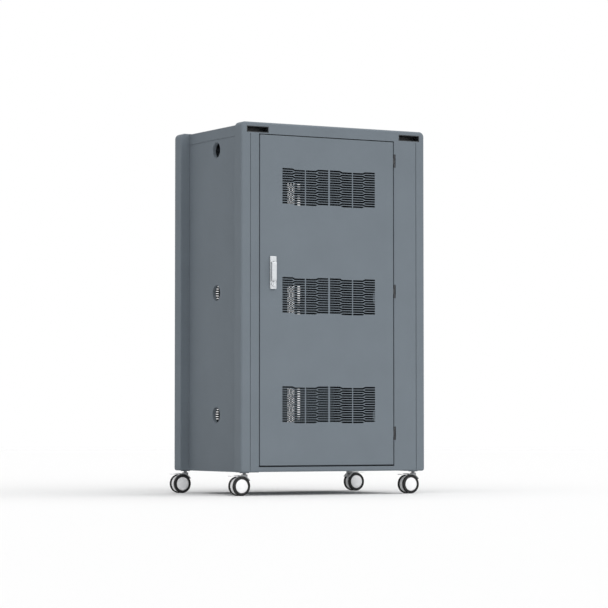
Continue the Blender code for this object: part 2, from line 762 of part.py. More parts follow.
def make_lock(door, swing, left):
    """Swing-handle lock on the front door."""
    x = left + LOCK_INSET
    z = (DOOR_LOW + DOOR_HIGH) / 2 + LOCK_RISE
    back = -HALF_D - FIT
    face = back - LOCK_PLATE
    half_w = LOCK_WIDTH / 2
    half_l = LOCK_LENGTH / 2
    outline = rounded_rectangle((x - half_w, z - half_l), (x + half_w, z + half_l), LOCK_CORNER, LOCK_CORNER)
    plate = prism("lock_plate", outline, face, back, "Y", PARTS)
    spindle_z = z + SPINDLE_RISE
    cylinder_z = z - CYLINDER_DROP
    inside = -LIP_Y + SHEET + LOCK_CLEARANCE
    for tool in (plate, door):
        shaft_room = SPINDLE_RADIUS + LOCK_CLEARANCE
        cut(tool, rod("spindle_hole", shaft_room, -DEPTH, 0, "Y", (x, 0, spindle_z)))
        barrel_room = CYLINDER_RADIUS + LOCK_CLEARANCE
        cut(tool, rod("cylinder_hole", barrel_room, -DEPTH, 0, "Y", (x, 0, cylinder_z), facets=ROUND))
    paint(plate, SATIN_CHROME)
    hang(plate, swing)

    turn = pivot("lock_spindle_axis", (x, face, spindle_z), swing)
    eye_y = face - LEVER_GAP - LEVER_THICK / 2
    eye_radius = LEVER_THICK / 2
    cam_back = inside + CAM_THICK
    spindle = rod("lock_spindle", SPINDLE_RADIUS, face + FIT, cam_back, "Y", (x, 0, spindle_z), PARTS)
    neck = (x - EYE_WIDTH / 2, eye_y, spindle_z - SPINDLE_RADIUS / 2)
    add(spindle, block("eye_neck", neck, (x + EYE_WIDTH / 2, face + LOCK_PLATE, spindle_z + SPINDLE_RADIUS / 2)))
    ends = (x - EYE_WIDTH / 2, x + EYE_WIDTH / 2)
    add(spindle, rod("eye", eye_radius * 0.8, ends[0], ends[1], "X", (0, eye_y, spindle_z)))
    pin = LEVER_WIDTH / 2 - LOCK_CLEARANCE
    add(spindle, rod("eye_pin", EYE_PIN, x - pin, x + pin, "X", (0, eye_y, spindle_z)))
    tip = CAM_LENGTH - CAM_WIDTH / 2
    arm = arc((x, spindle_z), CAM_WIDTH / 2, 0, math.pi, CORNER_STEPS * 2)
    arm += arc((x, spindle_z - tip), CAM_WIDTH / 2, math.pi, 2 * math.pi, CORNER_STEPS * 2)
    add(spindle, prism("cam_arm", arm, inside, cam_back, "Y"))
    paint(spindle, DARK_STEEL)
    hang(spindle, turn)

    lift = pivot("lock_lever_axis", (x, eye_y, spindle_z), turn)
    nose = arc((eye_y, spindle_z), LEVER_THICK / 2, 0, math.pi, CORNER_STEPS * 2)
    foot = spindle_z - LEVER_LENGTH
    back_y = eye_y + LEVER_THICK / 2
    front_y = eye_y - LEVER_THICK / 2
    relief = LEVER_THICK * 0.6
    side = nose + [(front_y, foot), (back_y - relief, foot), (back_y, foot + 2 * LEVER_THICK)]
    lever = prism("lock_lever", side, x - LEVER_WIDTH / 2, x + LEVER_WIDTH / 2, "X", PARTS)
    gap = EYE_WIDTH / 2 + LOCK_CLEARANCE
    slot_low = spindle_z - LEVER_THICK
    cut(lever, block("eye_slot", (x - gap, -DEPTH, slot_low), (x + gap, 0, spindle_z + LEVER_THICK)))
    bore = LEVER_WIDTH
    cut(lever, rod("eye_bore", EYE_PIN + FIT, x - bore, x + bore, "X", (0, eye_y, spindle_z)))
    paint(lever, SATIN_CHROME)
    hang(lever, lift)

    key = pivot("lock_cylinder_axis", (x, face, cylinder_z), swing)
    front = face - CYLINDER_PROUD
    centre = (x, 0, cylinder_z)
    cylinder = rod("lock_cylinder", CYLINDER_RADIUS, front, face + CYLINDER_REACH, "Y", centre, PARTS, ROUND)
    half_slot = CYLINDER_RADIUS * 0.55
    low = (x - KEYWAY / 2, front - CYLINDER_PROUD, cylinder_z - half_slot)
    cut(cylinder, block("keyway", low, (x + KEYWAY / 2, front + CYLINDER_PROUD, cylinder_z + half_slot)))
    paint(cylinder, SATIN_CHROME)
    hang(cylinder, key)


def make_rear_lock(door, swing, left):
    """Quarter-turn knob and cam on the rear door."""
    x = left + REAR_LOCK_INSET
    z = (DOOR_LOW + DOOR_HIGH) / 2 + LOCK_RISE
    room = SPINDLE_RADIUS + LOCK_CLEARANCE
    cut(door, rod("rear_spindle_hole", room, 0, DEPTH, "Y", (x, 0, z)))
    turn = pivot("rear_lock_axis", (x, HALF_D, z), swing)
    seat = HALF_D + FIT
    top = HALF_D + HANDLE_PROUD
    lock = rod("rear_lock", KNOB_RADIUS, seat, seat + LOCK_PLATE, "Y", (x, 0, z), PARTS, ROUND)
    grip = KNOB_RADIUS * 0.3
    wing = KNOB_RADIUS * 0.85
    root = seat + LOCK_PLATE / 2
    add(lock, block("knob_wing", (x - grip, root, z - wing), (x + grip, top, z + wing)))
    inside = LIP_Y - SHEET - LOCK_CLEARANCE
    add(lock, rod("rear_spindle", SPINDLE_RADIUS, inside - CAM_THICK / 2, root, "Y", (x, 0, z)))
    tip = CAM_LENGTH - CAM_WIDTH / 2
    arm = arc((x, z), CAM_WIDTH / 2, 0, math.pi, CORNER_STEPS * 2)
    arm += arc((x, z - tip), CAM_WIDTH / 2, math.pi, 2 * math.pi, CORNER_STEPS * 2)
    add(lock, prism("rear_cam", arm, inside - CAM_THICK, inside, "Y"))
    paint(lock, DARK_STEEL)
    hang(lock, turn)


def make_inside():
    """Two shelves, and a rack and a charging strip on each level."""
    half_y = HALF_D - SHELF_MARGIN
    for name, z in zip(("lower_shelf", "upper_shelf"), SHELF_HEIGHTS):
        low = (-INNER_HALF, -half_y, z - SHELF_SHEET)
        shelf = block(name, low, (INNER_HALF, half_y, z), PARTS)
        paint(shelf, INNER_STEEL)
    floors = (FLOOR_Z, *SHELF_HEIGHTS)
    bays = int(2 * (INNER_HALF - RACK_SIDE_GAP) // BAY_PITCH)
    rack_half = bays * BAY_PITCH / 2
    front = -half_y + RACK_SETBACK
    back = front + RACK_DEPTH
    for label, floor in zip(("low", "middle", "top"), floors):
        seat = floor + FIT
        low = (-rack_half - DIVIDER / 2, front, seat)
        rack = block(label + "_rack", low, (rack_half + DIVIDER / 2, back, seat + RACK_FLOOR), PARTS)
        top = seat + DIVIDER_HEIGHT
        side = [
            (front + FIT, seat + FIT), (back - FIT, seat + FIT), (back - FIT, top),
            (front + DIVIDER_NOSE, top), (front + FIT, top - DIVIDER_NOSE),
        ]
        for i in range(bays + 1):
            x = -rack_half + i * BAY_PITCH
            add(rack, prism(f"{label}_divider", side, x - DIVIDER / 2 + FIT / 2, x + DIVIDER / 2 - FIT / 2, "X"))
        paint(rack, GREY_PLASTIC)
        make_charging_strip(label, seat, back + STRIP_GAP)


def make_charging_strip(label, seat, front):
    half = STRIP_LENGTH / 2
    low = (-half, front, seat)
    strip = block(label + "_charging_strip", low, (half, front + STRIP_DEPTH, seat + STRIP_HEIGHT), PARTS)
    outlets = int(STRIP_LENGTH // OUTLET_PITCH)
    middle_z = seat + STRIP_HEIGHT / 2
    for i in range(outlets):
        x = (i - (outlets - 1) / 2) * OUTLET_PITCH
        near = (x - OUTLET_SIZE / 2, front - OUTLET_DEPTH, middle_z - OUTLET_SIZE / 2)
        far = (x + OUTLET_SIZE / 2, front + OUTLET_DEPTH, middle_z + OUTLET_SIZE / 2)
        cut(strip, block("outlet", near, far))
    paint(strip, BLACK_PLASTIC)


def hood_mesh():
    """Caster hood with its stem, around the stem's axis."""
    axle = (AXLE_X, WHEEL_RADIUS)
    start = FENDER_START + HOOD_LEAD
    end = FENDER_END - HOOD_LEAD
    web = arc(axle, WHEEL_RADIUS - HOOD_INSET, end, start + 2 * math.pi, ROUND)
    web += arc(axle, FENDER_OUTER - FENDER_WALL / 2, start, end, CORNER_STEPS * 2)
    half = WHEEL_IN - RUNNING_GAP
    hood = prism("hood", web, -half, half, "Y")
    inner = WHEEL_RADIUS + FENDER_GAP
    shell = arc(axle, FENDER_OUTER, FENDER_START, FENDER_END, CORNER_STEPS * 2)
    shell += arc(axle, inner, FENDER_END, FENDER_START, CORNER_STEPS * 2)
    add(hood, prism("hood_fender", shell, -WHEEL_OUT, WHEEL_OUT, "Y"))
    add(hood, rod("hood_boss", BOSS_RADIUS, HOOD_TOP - BOSS_HEIGHT, HOOD_TOP, "Z", (0, 0, 0)))
    add(hood, rod("hood_stem", STEM_RADIUS, HOOD_TOP - FIT, BOTTOM + STEM_REACH, "Z", (0, 0, 0)))
    centre = (AXLE_X, 0, WHEEL_RADIUS)
    cut(hood, rod("axle_bore", AXLE_RADIUS + FIT, -WHEEL_SPACING, WHEEL_SPACING, "Y", centre))
    graph = bpy.context.evaluated_depsgraph_get()
    return bpy.data.meshes.new_from_object(hood.evaluated_get(graph))


def pedal_place():
    """Brake pedal's pivot, just past the end of the fender."""
    radius = FENDER_OUTER - FENDER_WALL / 2
    step = (PEDAL_THICK / 2 + RUNNING_GAP) / radius
    angle = FENDER_END + step
    return AXLE_X + radius * math.cos(angle), WHEEL_RADIUS + radius * math.sin(angle)


def caster_meshes():
    """Shared meshes of one caster, each around its own joint axis."""
    shoulder = TYRE_SHOULDER
    half = TYRE_WIDTH / 2
    tyre = turned("tyre", [
        (WHEEL_RADIUS, half - shoulder), (WHEEL_RADIUS, shoulder - half), (WHEEL_RADIUS - shoulder, -half),
        (TYRE_INNER, -half), (TYRE_INNER, half), (WHEEL_RADIUS - shoulder, half),
    ], True, TOOLS)
    rim = TYRE_INNER - FIT
    crown = WHEEL_OUT + HUB_DOME - TYRE_SHOULDER
    edge = WHEEL_OUT - TYRE_SHOULDER
    dome = [(rim * math.sin(t), edge + HUB_DOME * math.cos(t)) for t in (0, 0.8, math.pi / 2)]
    dome[0] = (0, crown)
    lower = [(radius, -height) for radius, height in reversed(dome)]
    inner = WHEEL_IN + RUNNING_GAP
    profile = dome + [(rim, inner), (AXLE_RADIUS, inner), (AXLE_RADIUS, -inner), (rim, -inner)] + lower
    hubs = turned("wheel_hubs", profile, False, TOOLS)
    tail = arc((0, 0), PEDAL_THICK / 2, math.pi / 2, -math.pi / 2, CORNER_STEPS)
    tail += arc((-PEDAL_LENGTH, 0), PEDAL_THICK / 2, -math.pi / 2, -3 * math.pi / 2, CORNER_STEPS)
    pedal = prism("pedal", tail, -PEDAL_WIDTH / 2, PEDAL_WIDTH / 2, "Y")
    return {"hood": hood_mesh(), "tyre": tyre.data, "hubs": hubs.data, "pedal": pedal.data}


def make_casters():
    meshes = caster_meshes()
    pedal_x, pedal_z = pedal_place()
    pieces = (
        ("caster_hood", "hood", SILVER_PLASTIC, (0, 0, 0)),
        ("wheel_hubs", "hubs", HUB_WHITE, (AXLE_X, 0, WHEEL_RADIUS)),
        ("front_tyre", "tyre", TYRE_RUBBER, (AXLE_X, -WHEEL_SPACING / 2, WHEEL_RADIUS)),
        ("rear_tyre", "tyre", TYRE_RUBBER, (AXLE_X, WHEEL_SPACING / 2, WHEEL_RADIUS)),
        ("brake_pedal", "pedal", HUB_WHITE, (pedal_x, 0, pedal_z)),
    )
    for name, (x, y), angle in caster_places():
        swivel = pivot(name + "_swivel_axis", (x, y, 0))
        swivel.rotation_euler = (0, 0, angle)
        for label, key, material, place in pieces:
            piece = mesh_object(f"{name}_{label}", meshes[key], PARTS, place)
            piece.parent = swivel
            paint(piece, material)


def main():
    make_base()
    make_posts()
    make_cap()
    make_sides()
    make_inlet()
    make_strips()
    make_hinges()
    door, swing, left = make_door(-1, "front", 3)
    make_lock(door, swing, left)
    rear, rear_swing, rear_left = make_door(1, "rear", 2)
    make_rear_lock(rear, rear_swing, rear_left)
    make_inside()
    make_casters()
    bpy.context.view_layer.update()


main()
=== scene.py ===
"""Looks of a charging cabinet on casters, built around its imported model.

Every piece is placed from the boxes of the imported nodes, in metres, with +Z up and
the front door facing -Y. Run it as a script: main() calls one operator per group.
"""

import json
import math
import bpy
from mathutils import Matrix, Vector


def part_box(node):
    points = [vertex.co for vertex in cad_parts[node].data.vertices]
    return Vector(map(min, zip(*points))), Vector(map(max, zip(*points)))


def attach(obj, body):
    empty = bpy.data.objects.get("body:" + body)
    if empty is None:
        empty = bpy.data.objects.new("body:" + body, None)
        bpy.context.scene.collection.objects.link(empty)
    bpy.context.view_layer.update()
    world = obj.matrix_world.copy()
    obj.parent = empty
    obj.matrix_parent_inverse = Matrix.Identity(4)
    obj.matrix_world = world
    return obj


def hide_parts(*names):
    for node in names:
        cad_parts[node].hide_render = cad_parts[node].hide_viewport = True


bl_info = {
    "name": "Charging Cabinet Looks",
    "version": (1, 0, 0),
    "blender": (4, 5, 0),
    "location": "View3D > Sidebar > Cabinet",
    "description": "Dresses the packed charging cabinet and sets its studio",
    "category": "Object",
}

import bmesh
import bpy
from bpy.props import FloatProperty, FloatVectorProperty, IntProperty, PointerProperty
from mathutils import Euler, Matrix, Vector

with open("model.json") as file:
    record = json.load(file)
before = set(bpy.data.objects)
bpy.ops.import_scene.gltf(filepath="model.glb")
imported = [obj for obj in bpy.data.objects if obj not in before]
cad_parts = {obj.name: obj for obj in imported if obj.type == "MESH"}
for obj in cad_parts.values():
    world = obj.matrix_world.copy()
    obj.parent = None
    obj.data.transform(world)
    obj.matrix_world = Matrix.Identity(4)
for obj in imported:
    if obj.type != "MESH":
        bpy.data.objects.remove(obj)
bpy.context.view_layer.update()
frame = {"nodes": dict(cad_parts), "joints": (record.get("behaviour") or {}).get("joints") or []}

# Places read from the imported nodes
POST_LOW, POST_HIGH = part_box("front_right_post")
CAP_LOW, CAP_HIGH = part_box("top_cap")
BASE_LOW, BASE_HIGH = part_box("base_tray")
SIDE_LOW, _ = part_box("left_side_panel")
HALF_W = POST_HIGH.x
HALF_D = -POST_LOW.y
BODY_HALF = -SIDE_LOW.x
HEIGHT = CAP_HIGH.z
CAP_Z = CAP_LOW.z
FLOOR_Z = BASE_HIGH.z
FRAME_DEPTH = POST_HIGH.y - POST_LOW.y

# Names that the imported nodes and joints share
ENDS = (("front", -1), ("rear", 1))
HANDS = (("left", -1), ("right", 1))
CORNERS = ("front_left", "front_right", "rear_left", "rear_right")
LEVELS = ("low", "middle", "top")
HINGE_LEVELS = {"front": LEVELS, "rear": ("low", "top")}
LOCK_HOLES = {
    "front": (("lock_handle_turn", 0.005), ("lock_key_turn", 0.0075)),
    "rear": (("rear_lock_turn", 0.005),),
}

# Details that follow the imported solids
FIT = 0.0003
SHEET = 0.0015
SEAM = 0.001
WALL = 0.003
RING_HEIGHT = 0.002
RING_RADIUS = 0.015
SOCKET_RADIUS = 0.0058
SOCKET_DEPTH = 0.0113
BOTTOM = BASE_LOW.z + RING_HEIGHT
CAP_DROP = 0.003
CAP_LIP = 0.001
CORNER_BLOCK = 0.065
GRIP_WALL = 0.002
STRIKE_LIP = 0.013
HINGE_RADIUS = 0.003
HINGE_ROOM = 0.0042
HINGE_HALF = 0.0213
HINGE_SETBACK = 0.0045
KNUCKLE_HALF = 0.0085
PIVOT_Y = HALF_D - HINGE_RADIUS
COLLAR_WALL = 0.0015
HOLE_RADIUS = 0.025
HOLE_Y = -0.004
HOLE_HEIGHTS = (0.2509, 0.6391, 1.096)
VENT_HEIGHTS = (0.2832, 0.6256, 0.9680)
INLET_RIM = 0.006

# Details of the looks alone
SLIM = 0.0006
STOP_FACE = 0.0225
STOP_BACK = 0.0240
STOP_HEIGHT = 0.014
FLANGE = 0.010

# Mesh tolerances, tool overshoot and shading angles
TOUCH = 1e-6
WELD = 0.000002
OVERCUT = 0.01
SMOOTH_ANGLE = 35.0
CRISP_ANGLE = 30.0
EDGE_ANGLE = 40.0
FACET_ANGLE = 50.0


def length_property(name, description, default, **limits):
    return FloatProperty(name=name, description=description, default=default, unit="LENGTH", **limits)


def colour_property(name, description, default):
    return FloatVectorProperty(
        name=name, description=description, default=default, subtype="COLOR", size=3, min=0.0, max=1.0,
    )


class CabinetSizes(bpy.types.PropertyGroup):
    """Sizes of the details that the looks add."""

    frame_edge: length_property(
        "Frame edge", "Rounding of the frames' outward edges", 0.007, min=0.001, max=0.012)
    frame_inner_edge: length_property(
        "Frame inner edge", "Rounding of the frames' edges next to the side panels", 0.003,
        min=0.001, max=0.007)
    frame_corner: length_property(
        "Frame corner", "Radius of the frames' upper corners", 0.016, min=0.009, max=0.03)
    sheet_edge: length_property(
        "Sheet edge", "Rounding of folded sheet edges", 0.0007, min=0.0002, max=0.0007)
    vent_rows: IntProperty(
        name="Vent rows", description="Rows of slots in each vent field", default=15, min=3, max=20)
    vent_pitch: length_property("Vent pitch", "Distance between rows of slots", 0.0076)
    slot_height: length_property("Slot height", "Height of one front slot", 0.0053)
    rear_slot_height: length_property("Rear slot height", "Height of one rear slot", 0.0022)
    slot_run: length_property("Slot run", "Length over which a slot steps half a row up or down", 0.0085)


class CabinetFinishes(bpy.types.PropertyGroup):
    """Colours of the finishes."""

    paint: colour_property("Paint", "Grey-blue powder coat", (0.169, 0.197, 0.223))
    chrome: colour_property("Satin chrome", "Lock plate, lever and cylinder", (0.559, 0.58, 0.601))
    black: colour_property("Black plastic", "Grips, inlet and charging strips", (0.017, 0.020, 0.023))
    rubber: colour_property("Rubber", "Caster tyres", (0.017, 0.017, 0.018))
    white: colour_property("White plastic", "Caster hub caps, discs and pedals", (0.93, 0.93, 0.94))
    # Caster fenders: mid grey, darker than their light plastic, as painted shade.
    fender_shade_grey: colour_property("Silver plastic", "Caster fenders", (0.34, 0.35, 0.36))
    steel: colour_property("Zinc steel", "Shelves", (0.42, 0.43, 0.44))
    dark_steel: colour_property("Dark steel", "Hinges, cams and rear knob", (0.050, 0.052, 0.056))
    rack: colour_property("Rack plastic", "Device racks", (0.16, 0.165, 0.17))


def sizes():
    return bpy.context.scene.cabinet_sizes


def colours():
    return bpy.context.scene.cabinet_finishes


# Materials

FINISH_PREFIX = "cabinet_"
LENS_COLOUR = (0.03, 0.30, 0.07)
CHROME_LIFT = 1.12
LEAST_ROUGHNESS = 0.02
NOISE_LOW = 0.3
NOISE_HIGH = 0.7


def new_material(name):
    material = bpy.data.materials.new(name)
    material.use_nodes = True
    tree = material.node_tree
    return material, tree.nodes, tree.links, tree.nodes["Principled BSDF"]


def set_inputs(node, values):
    for socket, value in values.items():
        node.inputs[socket].default_value = value


def grained(name, colour, roughness, spread, patch, grain, depth, metallic=0.0, stretch=(1, 1, 1),
            rough_spread=0.06, coat=0.0, specular=0.5, fleck=0.03, spangle=False):
    """A finish with slow colour drift or zinc spangles, fine flecks and grain, and uneven gloss."""
    name = FINISH_PREFIX + name
    if name in bpy.data.materials:
        return bpy.data.materials[name]
    material, nodes, links, shader = new_material(name)
    set_inputs(shader, {
        "Metallic": metallic, "Coat Weight": coat, "Coat Roughness": 0.25, "Specular IOR Level": specular,
    })
    place = nodes.new("ShaderNodeTexCoord")
    scale = nodes.new("ShaderNodeMapping")
    set_inputs(scale, {"Scale": stretch})
    if spangle:
        drift = nodes.new("ShaderNodeTexVoronoi")
    else:
        drift = nodes.new("ShaderNodeTexNoise")
        set_inputs(drift, {"Detail": 3.0})
    set_inputs(drift, {"Scale": patch})
    shade = nodes.new("ShaderNodeValToRGB")
    dark, light = shade.color_ramp.elements
    dark.position = NOISE_LOW
    light.position = NOISE_HIGH
    dark.color = (*(c * (1 - spread) for c in colour), 1)
    light.color = (*(min(1, c * (1 + spread)) for c in colour), 1)
    fine = nodes.new("ShaderNodeTexNoise")
    set_inputs(fine, {"Scale": grain, "Detail": 2.0})
    level = nodes.new("ShaderNodeMapRange")
    set_inputs(level, {
        "From Min": NOISE_LOW, "From Max": NOISE_HIGH, "To Min": 1 - fleck, "To Max": 1 + fleck,
    })
    flecked = nodes.new("ShaderNodeVectorMath")
    flecked.operation = "SCALE"
    gloss = nodes.new("ShaderNodeMapRange")
    set_inputs(gloss, {
        "To Min": max(LEAST_ROUGHNESS, roughness - rough_spread),
        "To Max": min(1.0, roughness + rough_spread),
    })
    bump = nodes.new("ShaderNodeBump")
    set_inputs(bump, {"Distance": depth, "Strength": 0.6})
    for source, output, target, socket in (
        (place, "Object", scale, "Vector"), (scale, "Vector", drift, "Vector"),
        (drift, "Color" if spangle else "Fac", shade, "Fac"), (scale, "Vector", fine, "Vector"),
        (fine, "Fac", level, "Value"), (shade, "Color", flecked, "Vector"),
        (level, "Result", flecked, "Scale"), (flecked, "Vector", shader, "Base Color"),
        (fine, "Fac", gloss, "Value"), (gloss, "Result", shader, "Roughness"),
        (fine, "Fac", bump, "Height"), (bump, "Normal", shader, "Normal"),
    ):
        links.new(source.outputs[output], target.inputs[socket])
    return material


def powder_coat():
    return grained("grey_blue_powder_coat", colours().paint, roughness=0.46, spread=0.025, patch=9.0,
                   grain=1000.0, depth=0.00005, rough_spread=0.08, specular=0.05, fleck=0.05)


def satin_chrome():
    return grained("satin_chrome", colours().chrome, roughness=0.36, spread=0.03, patch=60.0, grain=2000.0,
                   depth=0.00001, metallic=0.5, stretch=(1, 1, 0.02), rough_spread=0.1, fleck=0.08)


def bright_chrome():
    lifted = [min(1.0, c * CHROME_LIFT) for c in colours().chrome]
    return grained("bright_chrome", lifted, roughness=0.25, spread=0.02, patch=90.0, grain=700.0,
                   depth=0.000006, metallic=0.7, rough_spread=0.04)


def black_plastic():
    return grained("black_plastic", colours().black, roughness=0.5, spread=0.15, patch=40.0, grain=1600.0,
                   depth=0.00005, fleck=0.2)


def tyre_rubber():
    return grained("tyre_rubber", colours().rubber, roughness=0.55, spread=0.2, patch=80.0, grain=1500.0,
                   depth=0.00006, specular=0.2, fleck=0.2)


def white_plastic():
    return grained("hub_white_plastic", colours().white, roughness=0.3, spread=0.02, patch=60.0, grain=1200.0,
                   depth=0.000008, rough_spread=0.03, coat=0.2, fleck=0.015)


# Caster fenders in mid grey: painted shade, darker than their light plastic.
def silver_plastic():
    return grained("fender_grey_with_painted_shade", colours().fender_shade_grey, roughness=0.35, spread=0.04, patch=70.0,
                   grain=1400.0, depth=0.00001, rough_spread=0.04)


def zinc_steel():
    return grained("zinc_steel", colours().steel, roughness=0.45, spread=0.16, patch=130.0, grain=900.0,
                   depth=0.00001, metallic=0.8, spangle=True)


def dark_steel():
    return grained("blackened_steel", colours().dark_steel, roughness=0.42, spread=0.2, patch=200.0,
                   grain=900.0, depth=0.00002, metallic=0.6)


def lens_green():
    return grained("green_lens", LENS_COLOUR, roughness=0.2, spread=0.1, patch=300.0, grain=2500.0,
                   depth=0.000004, coat=0.4)


def rack_plastic():
    return grained("rack_plastic", colours().rack, roughness=0.55, spread=0.06, patch=30.0, grain=1300.0,
                   depth=0.00004, fleck=0.1)


# Mesh building

def add_object(name, data):
    obj = bpy.data.objects.new(name, data)
    bpy.context.scene.collection.objects.link(obj)
    return obj


def make_object(name, bm):
    """Link a mesh as a new object with smooth shading, and free the mesh data."""
    mesh = bpy.data.meshes.new(name)
    bmesh.ops.recalc_face_normals(bm, faces=bm.faces)
    bm.to_mesh(mesh)
    bm.free()
    obj = add_object(name, mesh)
    smooth(obj)
    return obj


def smooth(obj, angle=SMOOTH_ANGLE):
    """Shade smooth, except at edges sharper than the angle."""
    obj.data.shade_smooth()
    obj.data.set_sharp_from_angle(angle=math.radians(angle))


def settle(obj):
    """Apply all modifiers of an object."""
    graph = bpy.context.evaluated_depsgraph_get()
    mesh = bpy.data.meshes.new_from_object(obj.evaluated_get(graph))
    old = obj.data
    obj.modifiers.clear()
    obj.data = mesh
    mesh.name = obj.name
    bpy.data.meshes.remove(old)


def weld(obj):
    """Merge points that lie closer than the weld distance."""
    bm = bmesh.new()
    bm.from_mesh(obj.data)
    bmesh.ops.remove_doubles(bm, verts=bm.verts, dist=WELD)
    bmesh.ops.dissolve_degenerate(bm, dist=WELD, edges=bm.edges)
    bm.to_mesh(obj.data)
    bm.free()


def carve(obj, tools, operation="DIFFERENCE"):
    """Boolean an object with tools, which are then removed, and shade it."""
    for tool in tools:
        modifier = obj.modifiers.new("carve", "BOOLEAN")
        modifier.operation = operation
        modifier.solver = "EXACT"
        modifier.object = tool
    settle(obj)
    weld(obj)
    smooth(obj, CRISP_ANGLE)
    for tool in tools:
        mesh = tool.data
        bpy.data.objects.remove(tool, do_unlink=True)
        bpy.data.meshes.remove(mesh)


def add_bevel(obj, name, width, segments, angle):
    modifier = obj.modifiers.new(name, "BEVEL")
    modifier.width = width
    modifier.segments = segments
    modifier.limit_method = "ANGLE"
    modifier.angle_limit = math.radians(angle)


def soften(obj, width, segments=2, angle=EDGE_ANGLE):
    """Round every edge sharper than the angle."""
    add_bevel(obj, "soften", width, segments, angle)
    settle(obj)
    smooth(obj)


def box_mesh(low, high):
    bm = bmesh.new()
    low = Vector(low)
    high = Vector(high)
    place = Matrix.Translation((low + high) / 2) @ Matrix.Diagonal((*(high - low), 1))
    bmesh.ops.create_cube(bm, size=1, matrix=place)
    return bm


def block(name, low, high):
    return make_object(name, box_mesh(low, high))


AXIS_TURNS = {
    "X": Matrix(((0, 0, 1, 0), (1, 0, 0, 0), (0, 1, 0, 0), (0, 0, 0, 1))),
    "Y": Matrix(((1, 0, 0, 0), (0, 0, -1, 0), (0, 1, 0, 0), (0, 0, 0, 1))),
    "Z": Matrix.Identity(4),
}


def rod(name, radius, low, high, axis, centre, steps=48):
    """A cylinder from low to high along an axis."""
    bm = bmesh.new()
    middle = Vector(centre)
    middle["XYZ".index(axis)] = (low + high) / 2
    bmesh.ops.create_cone(bm, cap_ends=True, segments=steps, radius1=radius, radius2=radius,
                          depth=high - low, matrix=Matrix.Translation(middle) @ AXIS_TURNS[axis])
    return make_object(name, bm)


def prism_mesh(outline, low, high, axis):
    """A closed outline pushed from low to high along an axis."""
    bm = bmesh.new()
    turn = AXIS_TURNS[axis]
    shift = Vector((0, 0, 0))
    shift["XYZ".index(axis)] = low
    verts = [bm.verts.new(turn @ Vector((u, v, 0)) + shift) for u, v in outline]
    face = bm.faces.new(verts)
    grown = bmesh.ops.extrude_face_region(bm, geom=[face])
    push = Vector((0, 0, 0))
    push["XYZ".index(axis)] = high - low
    bmesh.ops.translate(bm, verts=[v for v in grown["geom"] if isinstance(v, bmesh.types.BMVert)], vec=push)
    return bm


def prism(name, outline, low, high, axis):
    return make_object(name, prism_mesh(outline, low, high, axis))


def arc(centre, radius, start, end, steps):
    points = []
    for i in range(steps + 1):
        angle = start + (end - start) * i / steps
        points.append((centre[0] + radius * math.cos(angle), centre[1] + radius * math.sin(angle)))
    return points


def rounded_rectangle(low, high, radius, steps, upper=None):
    """Outline with rounded corners; the upper two can have a radius of their own."""
    quarter = math.pi / 2
    upper = radius if upper is None else upper
    corners = (
        (low[0] + radius, low[1] + radius, radius, 2), (high[0] - radius, low[1] + radius, radius, 3),
        (high[0] - upper, high[1] - upper, upper, 0), (low[0] + upper, high[1] - upper, upper, 1),
    )
    outline = []
    for u, v, bend, turn in corners:
        outline += arc((u, v), bend, turn * quarter, (turn + 1) * quarter, steps)
    return outline


def lathe(name, profile, centre, steps=64, closed=False):
    """(radius, offset) points turned about an axis along Y through the centre."""
    bm = bmesh.new()
    centre = Vector(centre)
    verts = [bm.verts.new(centre + Vector((radius, offset, 0))) for radius, offset in profile]
    pairs = list(zip(verts, verts[1:]))
    if closed:
        pairs.append((verts[-1], verts[0]))
    edges = [bm.edges.new(pair) for pair in pairs]
    bmesh.ops.spin(bm, geom=verts + edges, cent=centre, axis=(0, 1, 0), angle=2 * math.pi, steps=steps,
                   use_merge=True, use_duplicate=False)
    bmesh.ops.remove_doubles(bm, verts=bm.verts, dist=TOUCH)
    return make_object(name, bm)


def clip(bm, point, normal):
    """Keep the side of a plane that its normal points to, and close the cut."""
    geom = bm.verts[:] + bm.edges[:] + bm.faces[:]
    done = bmesh.ops.bisect_plane(bm, geom=geom, plane_co=point, plane_no=normal, clear_inner=True)
    edges = [e for e in done["geom_cut"] if isinstance(e, bmesh.types.BMEdge)]
    bmesh.ops.edgeloop_fill(bm, edges=edges)


def paint(obj, material):
    obj.data.materials.clear()
    obj.data.materials.append(material)


def dress(obj, material, body, slot, *nodes):
    """Give a piece its finish, its body and the nodes that it stands for; the slot is not used."""
    paint(obj, material)
    even = obj.modifiers.new("even_shading", "WEIGHTED_NORMAL")
    even.keep_sharp = True
    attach(obj, body)
    if nodes:
        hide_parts(*nodes)


def keep(node, material, edge):
    """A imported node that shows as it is, with a better finish and soft edges."""
    obj = frame["nodes"][node]
    paint(obj, material)
    add_bevel(obj, "soft_edges", edge, 2, EDGE_ANGLE)


def joint_place(name):
    """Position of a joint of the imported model."""
    return next(joint["pos_m"] for joint in frame["joints"] if joint["name"] == name)


# Body

LOWER_CORNER = 1.05  # radius of the frames' lower corners over that of their edges
GRIP_CORNER = 0.0025
GRIP_INNER_CORNER = 0.002
GRIP_EDGE = 0.0005
PANEL_EDGE = 0.0006


def frame_mesh(face):
    """The whole rounded front (-1) or rear (+1) frame."""
    edge = sizes().frame_edge
    outline = rounded_rectangle((-HALF_W, BOTTOM), (HALF_W, HEIGHT), edge * LOWER_CORNER, 8,
                                sizes().frame_corner)
    ends = sorted((face * HALF_D, face * (HALF_D - FRAME_DEPTH)))
    bm = prism_mesh(outline, ends[0], ends[1], "Y")
    for depth, width in ((HALF_D, edge), (HALF_D - FRAME_DEPTH, sizes().frame_inner_edge)):
        rims = [e for e in bm.edges if all(abs(abs(v.co.y) - depth) < TOUCH for v in e.verts)]
        bmesh.ops.bevel(bm, geom=rims, offset=width, segments=6, profile=0.5, affect="EDGES",
                        clamp_overlap=True)
    return bm


